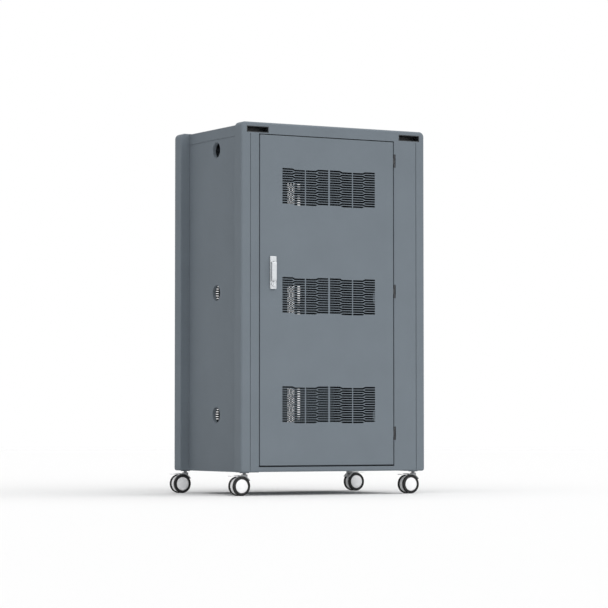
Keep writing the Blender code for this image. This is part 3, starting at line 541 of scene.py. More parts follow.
def frame_piece(name, face, *cuts):
    """The part of a frame that some cutting planes leave."""
    bm = frame_mesh(face)
    for point, normal in cuts:
        clip(bm, point, normal)
    return make_object(name, bm)


def make_posts():
    for corner in CORNERS:
        node = corner + "_post"
        low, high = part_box(node)
        face = -1 if low.y < 0 else 1
        side = -1 if low.x < 0 else 1
        inner = low.x if side > 0 else high.x
        post = frame_piece(node + "_shell", face, ((0, 0, FLOOR_Z), (0, 0, 1)), ((0, 0, CAP_Z), (0, 0, -1)),
                           ((inner, 0, 0), (side, 0, 0)))
        dress(post, powder_coat(), "cabinet", "body_paint", node)


def make_cap():
    cut = ((0, 0, CAP_Z), (0, 0, 1))
    cap = frame_piece("cap_shell", -1, cut)
    rear = frame_piece("cap_rear_beam", 1, cut)
    half = BODY_HALF + CAP_LIP
    reach = HALF_D - FRAME_DEPTH / 2
    top = block("cap_panel", (-half, -reach, CAP_Z), (half, reach, HEIGHT - CAP_DROP))
    carve(cap, [rear, top], "UNION")
    tools = [block("cap_hollow", (WALL - BODY_HALF, WALL - HALF_D, 0),
                   (BODY_HALF - WALL, HALF_D - WALL, HEIGHT - CAP_DROP - WALL))]
    room = Vector((FIT, FIT, FIT))
    for hand, _ in HANDS:
        low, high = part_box(hand + "_hand_grip")
        tools.append(block("grip_hole", low - room - Vector((0, 2 * OVERCUT, 0)), high + room))
    carve(cap, tools)
    carve(cap, door_stops("cap_stop", CAP_Z - STOP_HEIGHT, CAP_Z + FIT), "UNION")
    dress(cap, powder_coat(), "cabinet", "body_paint", "top_cap")


def door_stops(name, low, high):
    """Lips that the doors close against, inside the front and the rear."""
    half = BODY_HALF - 2 * WALL
    stops = []
    for _, face in ENDS:
        ys = sorted((face * (HALF_D - STOP_FACE), face * (HALF_D - STOP_BACK)))
        stops.append(block(name, (-half, ys[0], low), (half, ys[1], high)))
    return stops


def make_grips():
    wall = GRIP_WALL
    for hand, _ in HANDS:
        node = hand + "_hand_grip"
        low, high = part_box(node)
        outline = rounded_rectangle((low.x, low.z), (high.x, high.z), GRIP_CORNER, 4)
        grip = prism(hand + "_grip_cup", outline, low.y, high.y, "Y")
        inside = rounded_rectangle((low.x + wall, low.z + wall), (high.x - wall, high.z - wall),
                                   GRIP_INNER_CORNER, 4)
        carve(grip, [prism("cup_hollow", inside, low.y - OVERCUT, high.y - wall, "Y")])
        soften(grip, GRIP_EDGE)
        dress(grip, black_plastic(), "cabinet", "black_plastic", node)


def make_base():
    cut = ((0, 0, FLOOR_Z), (0, 0, -1))
    base = frame_piece("base_shell", -1, cut)
    rear = frame_piece("base_rear_beam", 1, cut)
    reach = HALF_D - FRAME_DEPTH / 2
    floor = block("base_floor", (-BODY_HALF, -reach, BOTTOM), (BODY_HALF, reach, FLOOR_Z))
    carve(base, [rear, floor], "UNION")
    block_x = HALF_W - CORNER_BLOCK
    block_y = HALF_D - CORNER_BLOCK
    roof = FLOOR_Z - WALL
    carve(base, [
        block("base_long", (-block_x, WALL - HALF_D, 0), (block_x, HALF_D - WALL, roof)),
        block("base_wide", (WALL - BODY_HALF, -block_y, 0), (BODY_HALF - WALL, block_y, roof)),
    ])
    seams = []
    for _, side in HANDS:
        for _, face in ENDS:
            xs = sorted((side * (BODY_HALF - SEAM - SLIM), side * (BODY_HALF + FIT)))
            ys = sorted((face * (HALF_D + SHEET), face * (HALF_D - SHEET)))
            seams.append(block("base_seam", (xs[0], ys[0], 0), (xs[1], ys[1], FLOOR_Z + SHEET)))
    carve(base, seams)
    stems = [(*caster_place(corner), 0) for corner in CORNERS]
    carve(base, [rod("ring", RING_RADIUS, BOTTOM - RING_HEIGHT, BOTTOM + FIT, "Z", stem) for stem in stems],
          "UNION")
    carve(base, [rod("socket", SOCKET_RADIUS, 0, BOTTOM + SOCKET_DEPTH, "Z", stem, 32) for stem in stems])
    carve(base, door_stops("floor_stop", FLOOR_Z - FIT, FLOOR_Z + STOP_HEIGHT), "UNION")
    dress(base, powder_coat(), "cabinet", "body_paint", "base_tray")


def caster_place(corner):
    """X and Y of a caster's stem, from its swivel joint."""
    return joint_place(corner + "_swivel")[:2]


def make_sides():
    for hand, side in HANDS:
        node = hand + "_side_panel"
        low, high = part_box(node)
        xs = sorted((side * BODY_HALF, side * (BODY_HALF - SHEET)))
        panel = block(node + "_sheet", (xs[0], low.y, FLOOR_Z - SHEET), (xs[1], high.y, high.z))
        ends = sorted((side * BODY_HALF, low.x if side > 0 else high.x))
        collars = []
        holes = []
        for z in HOLE_HEIGHTS:
            centre = (0, HOLE_Y, z)
            collars.append(rod("collar", HOLE_RADIUS + COLLAR_WALL, ends[0], ends[1], "X", centre, 64))
            holes.append(rod("hole", HOLE_RADIUS, -1, 1, "X", centre, 64))
        if side > 0:
            inlet_low, inlet_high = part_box("mains_inlet")
            rim = INLET_RIM - FIT
            holes.append(block("inlet_hole", (0, inlet_low.y + rim, inlet_low.z + rim),
                               (1, inlet_high.y - rim, inlet_high.z - rim)))
        carve(panel, collars, "UNION")
        carve(panel, holes)
        soften(panel, PANEL_EDGE)
        trim(panel)
        dress(panel, powder_coat(), "cabinet", "body_paint", node)


def hinge_marks(end):
    """X of the hinge axis and the heights of the hinges of a door."""
    heights = []
    for name in HINGE_LEVELS[end]:
        low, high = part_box(f"{end}_{name}_hinge_pin")
        heights.append((low.z + high.z) / 2)
    return joint_place(end + "_door_swing")[0], heights


def trim(obj):
    """Cut an upright piece off flush between the base and the cap."""
    bm = bmesh.new()
    bm.from_mesh(obj.data)
    clip(bm, (0, 0, FLOOR_Z), (0, 0, 1))
    clip(bm, (0, 0, CAP_Z), (0, 0, -1))
    bm.to_mesh(obj.data)
    bm.free()
    smooth(obj)


def fold_strip(node, outline, low, high, notches=()):
    """An upright folded sheet beside a door, with notches for the hinges."""
    strip = prism(node + "_sheet", outline, low.z - SHEET, high.z + SHEET, "Z")
    if notches:
        carve(strip, notches)
    soften(strip, sizes().sheet_edge)
    trim(strip)
    dress(strip, powder_coat(), "cabinet", "body_paint", node)


def make_strips():
    for end, face in ENDS:
        node = end + "_lock_strip"
        low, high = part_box(node)
        front = face * HALF_D
        skin = face * (HALF_D - SHEET)
        turned = face * (HALF_D - FLANGE)
        lip_back = high.y if face < 0 else low.y
        lip = lip_back + face * SHEET
        outer = low.x + SLIM
        tip = high.x
        edge = tip - STRIKE_LIP - SLIM
        outline = [
            (outer, front), (edge, front), (edge, lip), (tip, lip),
            (tip, lip_back), (edge - SHEET, lip_back), (edge - SHEET, skin), (outer + SHEET, skin),
            (outer + SHEET, turned), (outer, turned),
        ]
        fold_strip(node, outline, low, high)

        node = end + "_hinge_strip"
        low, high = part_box(node)
        edge = low.x + SLIM
        outer = high.x - SLIM
        outline = [
            (outer, front), (edge, front), (edge, lip_back), (edge + SHEET, lip_back),
            (edge + SHEET, skin), (outer - SHEET, skin), (outer - SHEET, turned), (outer, turned),
        ]
        axis, heights = hinge_marks(end)
        ys = sorted((face * 1.0, face * (PIVOT_Y - HINGE_ROOM)))
        fold_strip(node, outline, low, high, [
            block("notch", (edge - SHEET, ys[0], z - HINGE_HALF), (axis + HINGE_ROOM, ys[1], z + HINGE_HALF))
            for z in heights
        ])


# Doors

DOOR_EDGE = 0.0010
VENT_LEFT = -0.1890
VENT_RIGHT = 0.1489
VENT_BARS = (0.0035, 0.0060, 0.0035)
VENT_TOOL_OUT = 0.003
VENT_TOOL_IN = 0.006
REAR_COLUMNS = 5
REAR_COLUMN_PITCH = 0.0767
REAR_LAST_COLUMN = 0.115
REAR_HOLES = 5
REAR_HOLE_ROWS = 18
REAR_HOLE_PITCH = 0.00635
REAR_HOLE_RADIUS = 0.0018
REAR_HOLE_SIDES = 10
REAR_HOLES_START = -0.0262
REAR_SLOT_LOW = 0.0090
REAR_SLOT_HIGH = 0.0202
REAR_SLOT_ROUND = 0.8  # corner radius of a rear slot over half its height
KNUCKLE_BORE = 0.002
KNUCKLE_GAP = 0.4  # half the angle left open for the tongue, in radians
KNUCKLE_EDGE = 0.0003
TONGUE_HALF = 0.0012
TONGUE_LAP = 0.0001
BORE_REACH = 0.02


def vent_blocks():
    """(low x, high x, raised on the left) for the blocks between the vent's bars."""
    count = len(VENT_BARS) + 1
    width = (VENT_RIGHT - VENT_LEFT - sum(VENT_BARS)) / count
    blocks = []
    x = VENT_LEFT
    for i, bar in enumerate((*VENT_BARS, 0)):
        blocks.append((x, x + width, i % 2 == 0))
        x += width + bar
    return blocks


def block_slots(low, high, raised_left):
    """Outlines of a block's slots about its middle height: stepped ones and pointed half-length ones."""
    size = sizes()
    pitch = size.vent_pitch
    half = size.slot_height / 2
    web = pitch - size.slot_height
    run = size.slot_run
    rise = pitch / 2
    lean = math.tan(math.atan2(rise, run) / 2)
    shoulder = -run / 2 - (half + web) * lean
    tip = shoulder + half * run / rise
    line = (low + high) / 2
    way = 1 if raised_left else -1
    reach = line - low
    top = (size.vent_rows - 1) / 2 * pitch
    slots = []
    for row in range(size.vent_rows):
        raised = top + pitch / 4 - row * pitch
        lowered = raised - rise
        kind = row % 3
        if kind == 1:
            slots.append([
                (-reach, raised - half), (shoulder, raised - half), (tip, raised),
                (shoulder, raised + half), (-reach, raised + half),
            ])
            continue
        drop = lowered if kind == 0 else lowered + pitch
        slant = 1 if drop < raised else -1
        shift = slant * half * lean
        slots.append([
            (-reach, raised - half), (-run / 2 - shift, raised - half), (run / 2 - shift, drop - half),
            (reach, drop - half), (reach, drop + half), (run / 2 + shift, drop + half),
            (-run / 2 + shift, raised + half), (-reach, raised + half),
        ])
        if kind == 2:
            slots.append([
                (reach, lowered + half), (-shoulder, lowered + half), (-tip, lowered),
                (-shoulder, lowered - half), (reach, lowered - half),
            ])
    return [[(line + way * x, z) for x, z in outline] for outline in slots]


def front_slots():
    """Slot outlines of one front vent about its middle height."""
    return [outline for low, high, raised in vent_blocks() for outline in block_slots(low, high, raised)]


def rear_slots():
    """Outlines of one rear vent about its middle height: columns of round holes beside short slots."""
    size = sizes()
    half = size.rear_slot_height / 2
    pitch = size.vent_pitch
    across = REAR_HOLE_PITCH * math.cos(math.pi / 6)
    last = 2 * math.pi * (REAR_HOLE_SIDES - 1) / REAR_HOLE_SIDES
    outlines = []
    for column in range(REAR_COLUMNS):
        middle = REAR_LAST_COLUMN - column * REAR_COLUMN_PITCH
        for row in range(size.vent_rows - 1):
            z = ((size.vent_rows - 1) / 2 - row) * pitch + pitch / 4
            outlines.append(rounded_rectangle(
                (middle + REAR_SLOT_LOW, z - half), (middle + REAR_SLOT_HIGH, z + half),
                half * REAR_SLOT_ROUND, 2))
        for i in range(REAR_HOLES):
            x = middle + REAR_HOLES_START + i * across
            for row in range(REAR_HOLE_ROWS):
                z = ((REAR_HOLE_ROWS - 1) / 2 - row + 0.25 - 0.5 * (i % 2)) * REAR_HOLE_PITCH
                outlines.append(arc((x, z), REAR_HOLE_RADIUS, 0, last, REAR_HOLE_SIDES - 1))
    return outlines


def vent_tools(face):
    """All the slots of a door as one tool."""
    bm = bmesh.new()
    ends = (face * (HALF_D + VENT_TOOL_OUT), face * (HALF_D - VENT_TOOL_IN))
    outlines = front_slots() if face < 0 else rear_slots()
    for middle in VENT_HEIGHTS:
        for outline in outlines:
            near, far = ([bm.verts.new((x, y, middle + z)) for x, z in outline] for y in ends)
            bm.faces.new(near)
            bm.faces.new(far)
            for i in range(len(outline)):
                bm.faces.new((near[i - 1], near[i], far[i], far[i - 1]))
    return make_object("vent_slots", bm)


def lock_bores(end, low, high, steps):
    """Tools for the holes that a door's lock passes through."""
    bores = []
    for name, radius in LOCK_HOLES[end]:
        x, _, z = joint_place(name)
        bores.append(rod("lock_hole", radius, low, high, "Y", (x, 0, z), steps))
    return bores


def make_door(face, end):
    node = end + "_door"
    low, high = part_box(node)
    axis, heights = hinge_marks(end)
    left = low.x + SLIM
    right = axis - HINGE_SETBACK - SLIM
    floor = low.z + 2 * SLIM
    top = high.z - SLIM
    pan = box_mesh((left, low.y, floor), (right, high.y, top))
    front_y = low.y if face < 0 else high.y
    rims = [e for e in pan.edges if all(abs(v.co.y - front_y) < TOUCH for v in e.verts)]
    rims += [e for e in pan.edges if abs(e.verts[0].co.y - e.verts[1].co.y) > TOUCH]
    bmesh.ops.bevel(pan, geom=rims, offset=DOOR_EDGE, segments=4, profile=0.5, affect="EDGES")
    door = make_object(end + "_door_sheet", pan)
    ys = sorted((face * (HALF_D - SHEET), 0))
    hollow = block("pan", (left + SHEET, ys[0], floor + SHEET), (right - SHEET, ys[1], top - SHEET))
    carve(door, [hollow, vent_tools(face), *lock_bores(end, *sorted((0, face)), 32)])
    dress(door, powder_coat(), node, "body_paint", node)
    knuckles = knuckle_set(end, face, axis, right, heights)
    dress(knuckles, dark_steel(), node, "dark_steel")


def knuckle_set(end, face, axis, edge, heights):
    """Hinge knuckles with their tongues, on the door's edge."""
    bm = bmesh.new()
    y = face * PIVOT_Y
    outline = arc((axis, y), HINGE_RADIUS, math.pi - KNUCKLE_GAP, -math.pi + KNUCKLE_GAP, 20)
    outline += [(edge - TONGUE_LAP, y - TONGUE_HALF), (edge - TONGUE_LAP, y + TONGUE_HALF)]
    for z in heights:
        part = prism_mesh(outline, z - KNUCKLE_HALF, z + KNUCKLE_HALF, "Z")
        mesh = bpy.data.meshes.new("knuckle")
        part.to_mesh(mesh)
        part.free()
        bm.from_mesh(mesh)
        bpy.data.meshes.remove(mesh)
    knuckles = make_object(end + "_door_knuckles", bm)
    carve(knuckles, [
        rod("bore", KNUCKLE_BORE, z - BORE_REACH, z + BORE_REACH, "Z", (axis, y, 0), 24) for z in heights
    ])
    soften(knuckles, KNUCKLE_EDGE, 1, FACET_ANGLE)
    return knuckles


# Lock

PLATE_INSET_X = 0.0008
PLATE_INSET_Z = 0.0017
PLATE_CORNER = 0.003
PLATE_EDGE = 0.0011
GROOVE_HALF = 0.007
GROOVE_LOW = 0.0072
GROOVE_HIGH = 0.0084
GROOVE_DEPTH = 0.0008
LEVER_EDGE = 0.0012
LEVER_TIP = ((0.0, 0.010), (0.0004, 0.002), (0.0012, 0.0))  # in from the front, up from the end
LEVER_HEEL = ((0.6, 0.0), (0.25, 0.006), (0.0, 0.012))  # thicknesses in from the back, up from the end
EYE_HALF = 0.0035
EYE_BORE = 0.0014
CYLINDER_SINK = 0.0003
CYLINDER_RIM = (0.0022, 0.0018, 0.0006)
KEYWAY_HALF = 0.0008
KEYWAY_REACH = 0.0036
KEYWAY_DEPTH = 0.0025
SPINDLE_EDGE = 0.0003
KNOB_HEIGHT = 0.0045
KNOB_ROUND = (0.0004, 0.0005, 0.0014)
WING_SHARE = (0.3, 0.85)  # half width and half length over the knob's radius
WING_CORNER = 0.0025
WING_SINK = 0.002
WING_EDGE = 0.0009
SHAFT_RADIUS = 0.0045
SHAFT_START = 0.001
CAM_HALF = 0.007
CAM_THICK = 0.003
CAM_EDGE = 0.0004


def make_plate():
    low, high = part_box("lock_plate")
    outline = rounded_rectangle((low.x + PLATE_INSET_X, low.z + PLATE_INSET_Z),
                                (high.x - PLATE_INSET_X, high.z - PLATE_INSET_Z), PLATE_CORNER, 6)
    plate = prism("lock_plate_body", outline, low.y, high.y, "Y")
    soften(plate, PLATE_EDGE, 4)
    x = (low.x + high.x) / 2
    groove = block("plate_groove", (x - GROOVE_HALF, -1, low.z + GROOVE_LOW),
                   (x + GROOVE_HALF, low.y + GROOVE_DEPTH, low.z + GROOVE_HIGH))
    carve(plate, [*lock_bores("front", -1, 0, 48), groove])
    dress(plate, satin_chrome(), "front_door", "satin_chrome", "lock_plate")


def make_lever():
    low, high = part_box("lock_lever")
    thick = high.y - low.y
    middle = (low.y + high.y) / 2
    pivot_z = high.z - thick / 2
    side = arc((middle, pivot_z), thick / 2, 0, math.pi, 16)
    side += [(low.y + depth, low.z + rise) for depth, rise in LEVER_TIP]
    side += [(high.y - thick * share, low.z + rise) for share, rise in LEVER_HEEL]
    lever = prism("lock_lever_body", side, low.x, high.x, "X")
    soften(lever, LEVER_EDGE, 4)
    x = (low.x + high.x) / 2
    centre = (0, middle, pivot_z)
    carve(lever, [
        rod("eye_room", thick / 2 - FIT, x - EYE_HALF, x + EYE_HALF, "X", centre, 32),
        block("neck_room", (x - EYE_HALF, middle, pivot_z - thick), (x + EYE_HALF, 0, pivot_z + thick)),
        rod("eye_bore", EYE_BORE, x - BORE_REACH, x + BORE_REACH, "X", centre, 24),
    ])
    dress(lever, satin_chrome(), "lock_lever", "satin_chrome", "lock_lever")


def make_cylinder():
    low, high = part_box("lock_cylinder")
    x = (low.x + high.x) / 2
    z = (low.z + high.z) / 2
    radius = (high.x - low.x) / 2
    dish, crest, edge = CYLINDER_RIM
    profile = [
        (0, low.y + CYLINDER_SINK), (radius - dish, low.y + CYLINDER_SINK), (radius - crest, low.y),
        (radius - edge, low.y), (radius, low.y + edge), (radius, high.y), (0, high.y),
    ]
    cylinder = lathe("lock_cylinder_body", profile, (x, 0, z))
    carve(cylinder, [block("keyway", (x - KEYWAY_HALF, low.y - OVERCUT, z - KEYWAY_REACH),
                           (x + KEYWAY_HALF, low.y + KEYWAY_DEPTH, z + KEYWAY_REACH))])
    dress(cylinder, bright_chrome(), "lock_cylinder", "satin_chrome", "lock_cylinder")


def make_rear_lock():
    low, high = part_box("rear_lock")
    x = (low.x + high.x) / 2
    z = high.z - (high.x - low.x) / 2
    radius = (high.x - low.x) / 2
    seat = HALF_D + FIT
    rim = seat + KNOB_HEIGHT
    small, middle, large = KNOB_ROUND
    profile = [
        (0, seat), (radius, seat), (radius, rim - large), (radius - small, rim - middle),
        (radius - large, rim), (0, rim),
    ]
    knob = lathe("rear_lock_knob", profile, (x, 0, z), 60)
    wide, long = (radius * share for share in WING_SHARE)
    wing = prism("wing", rounded_rectangle((x - wide, z - long), (x + wide, z + long), WING_CORNER, 6),
                 rim - WING_SINK, high.y, "Y")
    soften(wing, WING_EDGE, 3)
    shaft = rod("shaft", SHAFT_RADIUS, low.y + SHAFT_START, rim - WING_SINK, "Y", (x, 0, z), 32)
    arm = arc((x, z), CAM_HALF, 0, math.pi, 12)
    arm += arc((x, low.z + CAM_HALF), CAM_HALF, math.pi, 2 * math.pi, 12)
    cam = prism("cam", arm, low.y, low.y + CAM_THICK, "Y")
    soften(cam, CAM_EDGE)
    carve(knob, [wing, shaft, cam], "UNION")
    dress(knob, dark_steel(), "rear_lock", "dark_steel", "rear_lock")


# Inside

SHELF_LIP = 0.012
SHELF_EDGE = 0.0007
OUTLETS = 7
OUTLET_PITCH = 0.070
OUTLET_HALF = 0.013
OUTLET_CORNER = 0.004
OUTLET_DEPTH = 0.003
STRIP_EDGE = 0.002
PIN_SHIFT = 0.0055
PIN_HALF = 0.001
PIN_RISE = 0.006
PIN_DEPTH = 0.009
EARTH_PIN_RADIUS = 0.0022
LIGHT_RADIUS = 0.0016
LIGHT_PLACE = (0.022, 0.0006, 0.008)
RACK_EDGE = 0.0006
BRACKET_EDGE = 0.00025
HINGE_PIN_EDGE = 0.0002


def make_shelves():
    for node in ("lower_shelf", "upper_shelf"):
        low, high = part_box(node)
        thick = high.z - low.z
        foot = low.z - SHELF_LIP
        outline = [
            (low.y, foot), (low.y + thick, foot), (low.y + thick, low.z), (high.y - thick, low.z),
            (high.y - thick, foot), (high.y, foot), (high.y, high.z), (low.y, high.z),
        ]
        shelf = prism(node + "_sheet", outline, low.x, high.x, "X")
        soften(shelf, SHELF_EDGE)
        dress(shelf, zinc_steel(), "cabinet", "inner_steel", node)


def make_charging_strips():
    for level in LEVELS:
        node = level + "_charging_strip"
        low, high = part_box(node)
        strip = block(node + "_body", low, high)
        soften(strip, STRIP_EDGE, 3)
        z = (low.z + high.z) / 2
        middle = (low.x + high.x) / 2
        start = low.y - OVERCUT
        wells = []
        pins = []
        lights = bmesh.new()
        for i in range(OUTLETS):
            x = middle + (i - (OUTLETS - 1) / 2) * OUTLET_PITCH
            well = rounded_rectangle((x - OUTLET_HALF, z - OUTLET_HALF), (x + OUTLET_HALF, z + OUTLET_HALF),
                                     OUTLET_CORNER, 5)
            wells.append(prism("well", well, start, low.y + OUTLET_DEPTH, "Y"))
            for shift in (-PIN_SHIFT, PIN_SHIFT):
                pins.append(block("pin", (x + shift - PIN_HALF, start, z - PIN_HALF),
                                  (x + shift + PIN_HALF, low.y + PIN_DEPTH, z + PIN_RISE)))
            pins.append(rod("pin", EARTH_PIN_RADIUS, start, low.y + PIN_DEPTH, "Y", (x, 0, z - PIN_RISE), 16))
            place = [at + shift for at, shift in zip((x, low.y, z), LIGHT_PLACE)]
            bmesh.ops.create_uvsphere(lights, u_segments=16, v_segments=8, radius=LIGHT_RADIUS,
                                      matrix=Matrix.Translation(place))
        carve(strip, wells)
        carve(strip, pins)
        dress(strip, black_plastic(), "cabinet", "black_plastic", node)
        dress(make_object(level + "_charge_lights", lights), lens_green(), "cabinet", "black_plastic")


def keep_inside():
    """Finish the racks, the inlet and the hinges, which show as packed."""
    for level in LEVELS:
        keep(level + "_rack", rack_plastic(), RACK_EDGE)
    keep("mains_inlet", black_plastic(), RACK_EDGE)
    for end, names in HINGE_LEVELS.items():
        for name in names:
            keep(f"{end}_{name}_hinge_bracket", dark_steel(), BRACKET_EDGE)
            keep(f"{end}_{name}_hinge_pin", dark_steel(), HINGE_PIN_EDGE)


# Casters

TYRE_BORE = 0.022
TYRE_ROUND = ((0.0030, 0.0), (0.0012, 0.0006), (0.0003, 0.0018), (0.0, 0.0032))  # in from tread, from side
WHEEL_STEPS = 72
HUB_RIM_OFFSET = 0.0174
HUB_STEP = 0.0004
HUB_FACE = (  # radius, drop over the dome's height, extra drop
    (0.0, 0.0, 0.0), (0.006, 0.03, 0.0), (0.0105, 0.12, 0.0), (0.0112, 0.12, HUB_STEP), (0.0118, 0.16, 0.0),
    (0.0155, 0.33, 0.0), (0.0190, 0.62, 0.0),
)
HUB_EDGE = (0.0006, 0.92)
HUB_INNER = 0.0096
AXLE_RADIUS = 0.004
AXLE_BORE = 0.0043
AXLE_REACH = 0.03
FENDER_START = math.radians(30)
FENDER_END = math.radians(104)
FENDER_INNER = 0.0312
FENDER_OUTER = 0.0340
FENDER_HALF = 0.019
FENDER_EDGE = 0.0009
DISC_RADIUS = 0.0275
DISC_HALF = 0.0084
DISC_MARGIN = 0.05  # angle by which the disc stops short of the fender's ends, in radians
DISC_EDGE = 0.0010
STEM_RADIUS = 0.0055
STEM_SHOW = 0.0044
STEM_SINK = 0.002
BOSS_RADIUS = 0.010
BOSS_HEIGHT = 0.008
BOSS_EDGE = 0.0010
PEDAL_CORNER = 0.0035
PEDAL_EDGE = 0.3  # edge rounding over the pedal's thickness
TREAD_GROOVES = 4
TREAD_START = 0.004
TREAD_PITCH = 0.003
TREAD_HALF = 0.0005
TREAD_MARGIN = 0.003
TREAD_DEPTH = 0.0006


def make_tyre(corner, which):
    node = f"{corner}_{which}_tyre"
    low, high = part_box(node)
    radius = (high.z - low.z) / 2
    half = (high.y - low.y) / 2
    shoulder = [(radius - drop, inset - half) for drop, inset in TYRE_ROUND]
    profile = [(TYRE_BORE, -half), *shoulder]
    profile += [(reach, -offset) for reach, offset in reversed(profile)]
    tyre = lathe(node + "_ring", profile, (low + high) / 2, WHEEL_STEPS, closed=True)
    dress(tyre, tyre_rubber(), corner + "_wheels", "tyre_rubber", node)


def make_hubs(corner):
    node = corner + "_wheel_hubs"
    low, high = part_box(node)
    half = (high.y - low.y) / 2
    rim = (high.z - low.z) / 2
    dome = half - HUB_RIM_OFFSET
    inset, share = HUB_EDGE
    outer = [(radius, half - dome * drop - extra) for radius, drop, extra in HUB_FACE]
    outer += [
        (rim - inset, half - dome * share), (rim, half - dome - HUB_STEP), (rim, HUB_INNER),
        (AXLE_RADIUS, HUB_INNER),
    ]
    profile = outer + [(radius, -offset) for radius, offset in reversed(outer)]
    hubs = lathe(node + "_turned", profile, (low + high) / 2, WHEEL_STEPS)
    dress(hubs, white_plastic(), corner + "_wheels", "hub_plastic", node)


def make_hood(corner):
    """White disc between the wheels, and the fender with its boss and stem in a mid grey that is painted
    shade on light plastic.
    """
    node = corner + "_caster_hood"
    low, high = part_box(corner + "_wheel_hubs")
    stem_x, stem_y = caster_place(corner)
    axle_x = (low.x + high.x) / 2 - stem_x
    turn = math.pi if axle_x > 0 else 0.0
    place = Matrix.Translation((stem_x, stem_y, 0)) @ Matrix.Rotation(turn, 4, "Z")
    axle = (-abs(axle_x), (low.z + high.z) / 2)
    start = FENDER_START + DISC_MARGIN
    end = FENDER_END - DISC_MARGIN
    web = arc(axle, DISC_RADIUS, end, start + 2 * math.pi, 56) + arc(axle, FENDER_INNER, start, end, 16)
    disc = prism(corner + "_wheel_disc", web, -DISC_HALF, DISC_HALF, "Y")
    carve(disc, [rod("axle_bore", AXLE_BORE, -AXLE_REACH, AXLE_REACH, "Y", (axle[0], 0, axle[1]), 32)])
    soften(disc, DISC_EDGE, 3, FACET_ANGLE)
    disc.data.transform(place)
    dress(disc, white_plastic(), corner + "_caster", "silver_plastic")
    shell = arc(axle, FENDER_OUTER, FENDER_START, FENDER_END, 24)
    shell += arc(axle, FENDER_INNER, FENDER_END, FENDER_START, 24)
    fender = prism(corner + "_fender", shell, -FENDER_HALF, FENDER_HALF, "Y")
    soften(fender, FENDER_EDGE, 3)
    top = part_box(node)[1].z
    roof = BASE_LOW.z - STEM_SHOW
    boss = rod("boss", BOSS_RADIUS, roof - BOSS_HEIGHT, roof, "Z", (0, 0, 0))
    soften(boss, BOSS_EDGE, 3)
    stem = rod("stem", STEM_RADIUS, roof - STEM_SINK, top, "Z", (0, 0, 0), 32)
    carve(fender, [boss, stem], "UNION")
    fender.data.transform(place)
    dress(fender, silver_plastic(), corner + "_caster", "silver_plastic", node)


def make_pedal(corner):
    node = corner + "_brake_pedal"
    low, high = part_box(node)
    pedal = prism(node + "_plate", rounded_rectangle((low.x, low.y), (high.x, high.y), PEDAL_CORNER, 6),
                  low.z, high.z, "Z")
    soften(pedal, (high.z - low.z) * PEDAL_EDGE, 3)
    stem_x = caster_place(corner)[0]
    tip, way = (low.x, 1) if low.x + high.x < 2 * stem_x else (high.x, -1)
    grooves = []
    for i in range(TREAD_GROOVES):
        x = tip + way * (TREAD_START + TREAD_PITCH * i)
        grooves.append(block(
            "groove", (x - TREAD_HALF, low.y + TREAD_MARGIN, high.z - TREAD_DEPTH),
            (x + TREAD_HALF, high.y - TREAD_MARGIN, high.z + OVERCUT)))
    carve(pedal, grooves)
    dress(pedal, white_plastic(), corner + "_brake", "hub_plastic", node)


# Studio

CAMERA_PLACE = (-4.24234, -7.55732, 0.22844)
CAMERA_RISE = 2.529  # degrees above level
CAMERA_TURN = -29.42
CAMERA_LENS = 158.5
AMBIENT_LIGHT = 0.20
FLOOR_RADIUS = 14.0
FLOOR_DROP = 0.0005
FLOOR_GREY = 0.84
SUN_TOWARD = (0.13, -0.40, 0.905)
SUN_STRENGTH = 3.35
SUN_SPREAD = 115  # degrees; a wide, soft light
SUN_DISTANCE = 4


def camera_setup():
    data = bpy.data.cameras.new("photo_camera")
    data.sensor_width = 36.0
    data.lens = CAMERA_LENS
    data.clip_end = 60.0
    camera = add_object("photo_camera", data)
    camera.location = CAMERA_PLACE
    camera.rotation_euler = Euler((math.radians(90 + CAMERA_RISE), 0, math.radians(CAMERA_TURN)))
    bpy.context.scene.camera = camera


def world_setup():
    """Even grey light, seen as plain white by the camera, in reflections and through glass."""
    world = bpy.data.worlds.new("studio")
    bpy.context.scene.world = world
    world.use_nodes = True
    nodes = world.node_tree.nodes
    links = world.node_tree.links
    ambient = nodes["Background"]
    set_inputs(ambient, {"Color": (1, 1, 1, 1), "Strength": AMBIENT_LIGHT})
    white = nodes.new("ShaderNodeBackground")
    set_inputs(white, {"Color": (1, 1, 1, 1), "Strength": 1.0})
    rays = nodes.new("ShaderNodeLightPath")
    seen = rays.outputs["Is Camera Ray"]
    for kind in ("Is Glossy Ray", "Is Transmission Ray"):
        either = nodes.new("ShaderNodeMath")
        either.operation = "MAXIMUM"
        links.new(seen, either.inputs[0])
        links.new(rays.outputs[kind], either.inputs[1])
        seen = either.outputs[0]
    mix = nodes.new("ShaderNodeMixShader")
    links.new(seen, mix.inputs["Fac"])
    links.new(ambient.outputs[0], mix.inputs[1])
    links.new(white.outputs[0], mix.inputs[2])
    links.new(mix.outputs[0], nodes["World Output"].inputs["Surface"])


def floor_setup():
    bm = bmesh.new()
    bmesh.ops.create_circle(bm, cap_ends=True, segments=96, radius=FLOOR_RADIUS)
    floor = make_object("studio_floor", bm)
    floor.location = (0, 0, -FLOOR_DROP)
    material, _, _, shader = new_material("studio_floor")
    set_inputs(shader, {
        "Base Color": (FLOOR_GREY, FLOOR_GREY, FLOOR_GREY, 1), "Roughness": 0.8, "Specular IOR Level": 0.1,
    })
    floor.data.materials.append(material)


def sun_setup():
    toward = Vector(SUN_TOWARD)
    data = bpy.data.lights.new("overhead_soft_light", "SUN")
    data.energy = SUN_STRENGTH
    data.angle = math.radians(SUN_SPREAD)
    sun = add_object("overhead_soft_light", data)
    sun.location = toward * SUN_DISTANCE
    sun.rotation_euler = (-toward).to_track_quat("-Z", "Y").to_euler()


# Operators

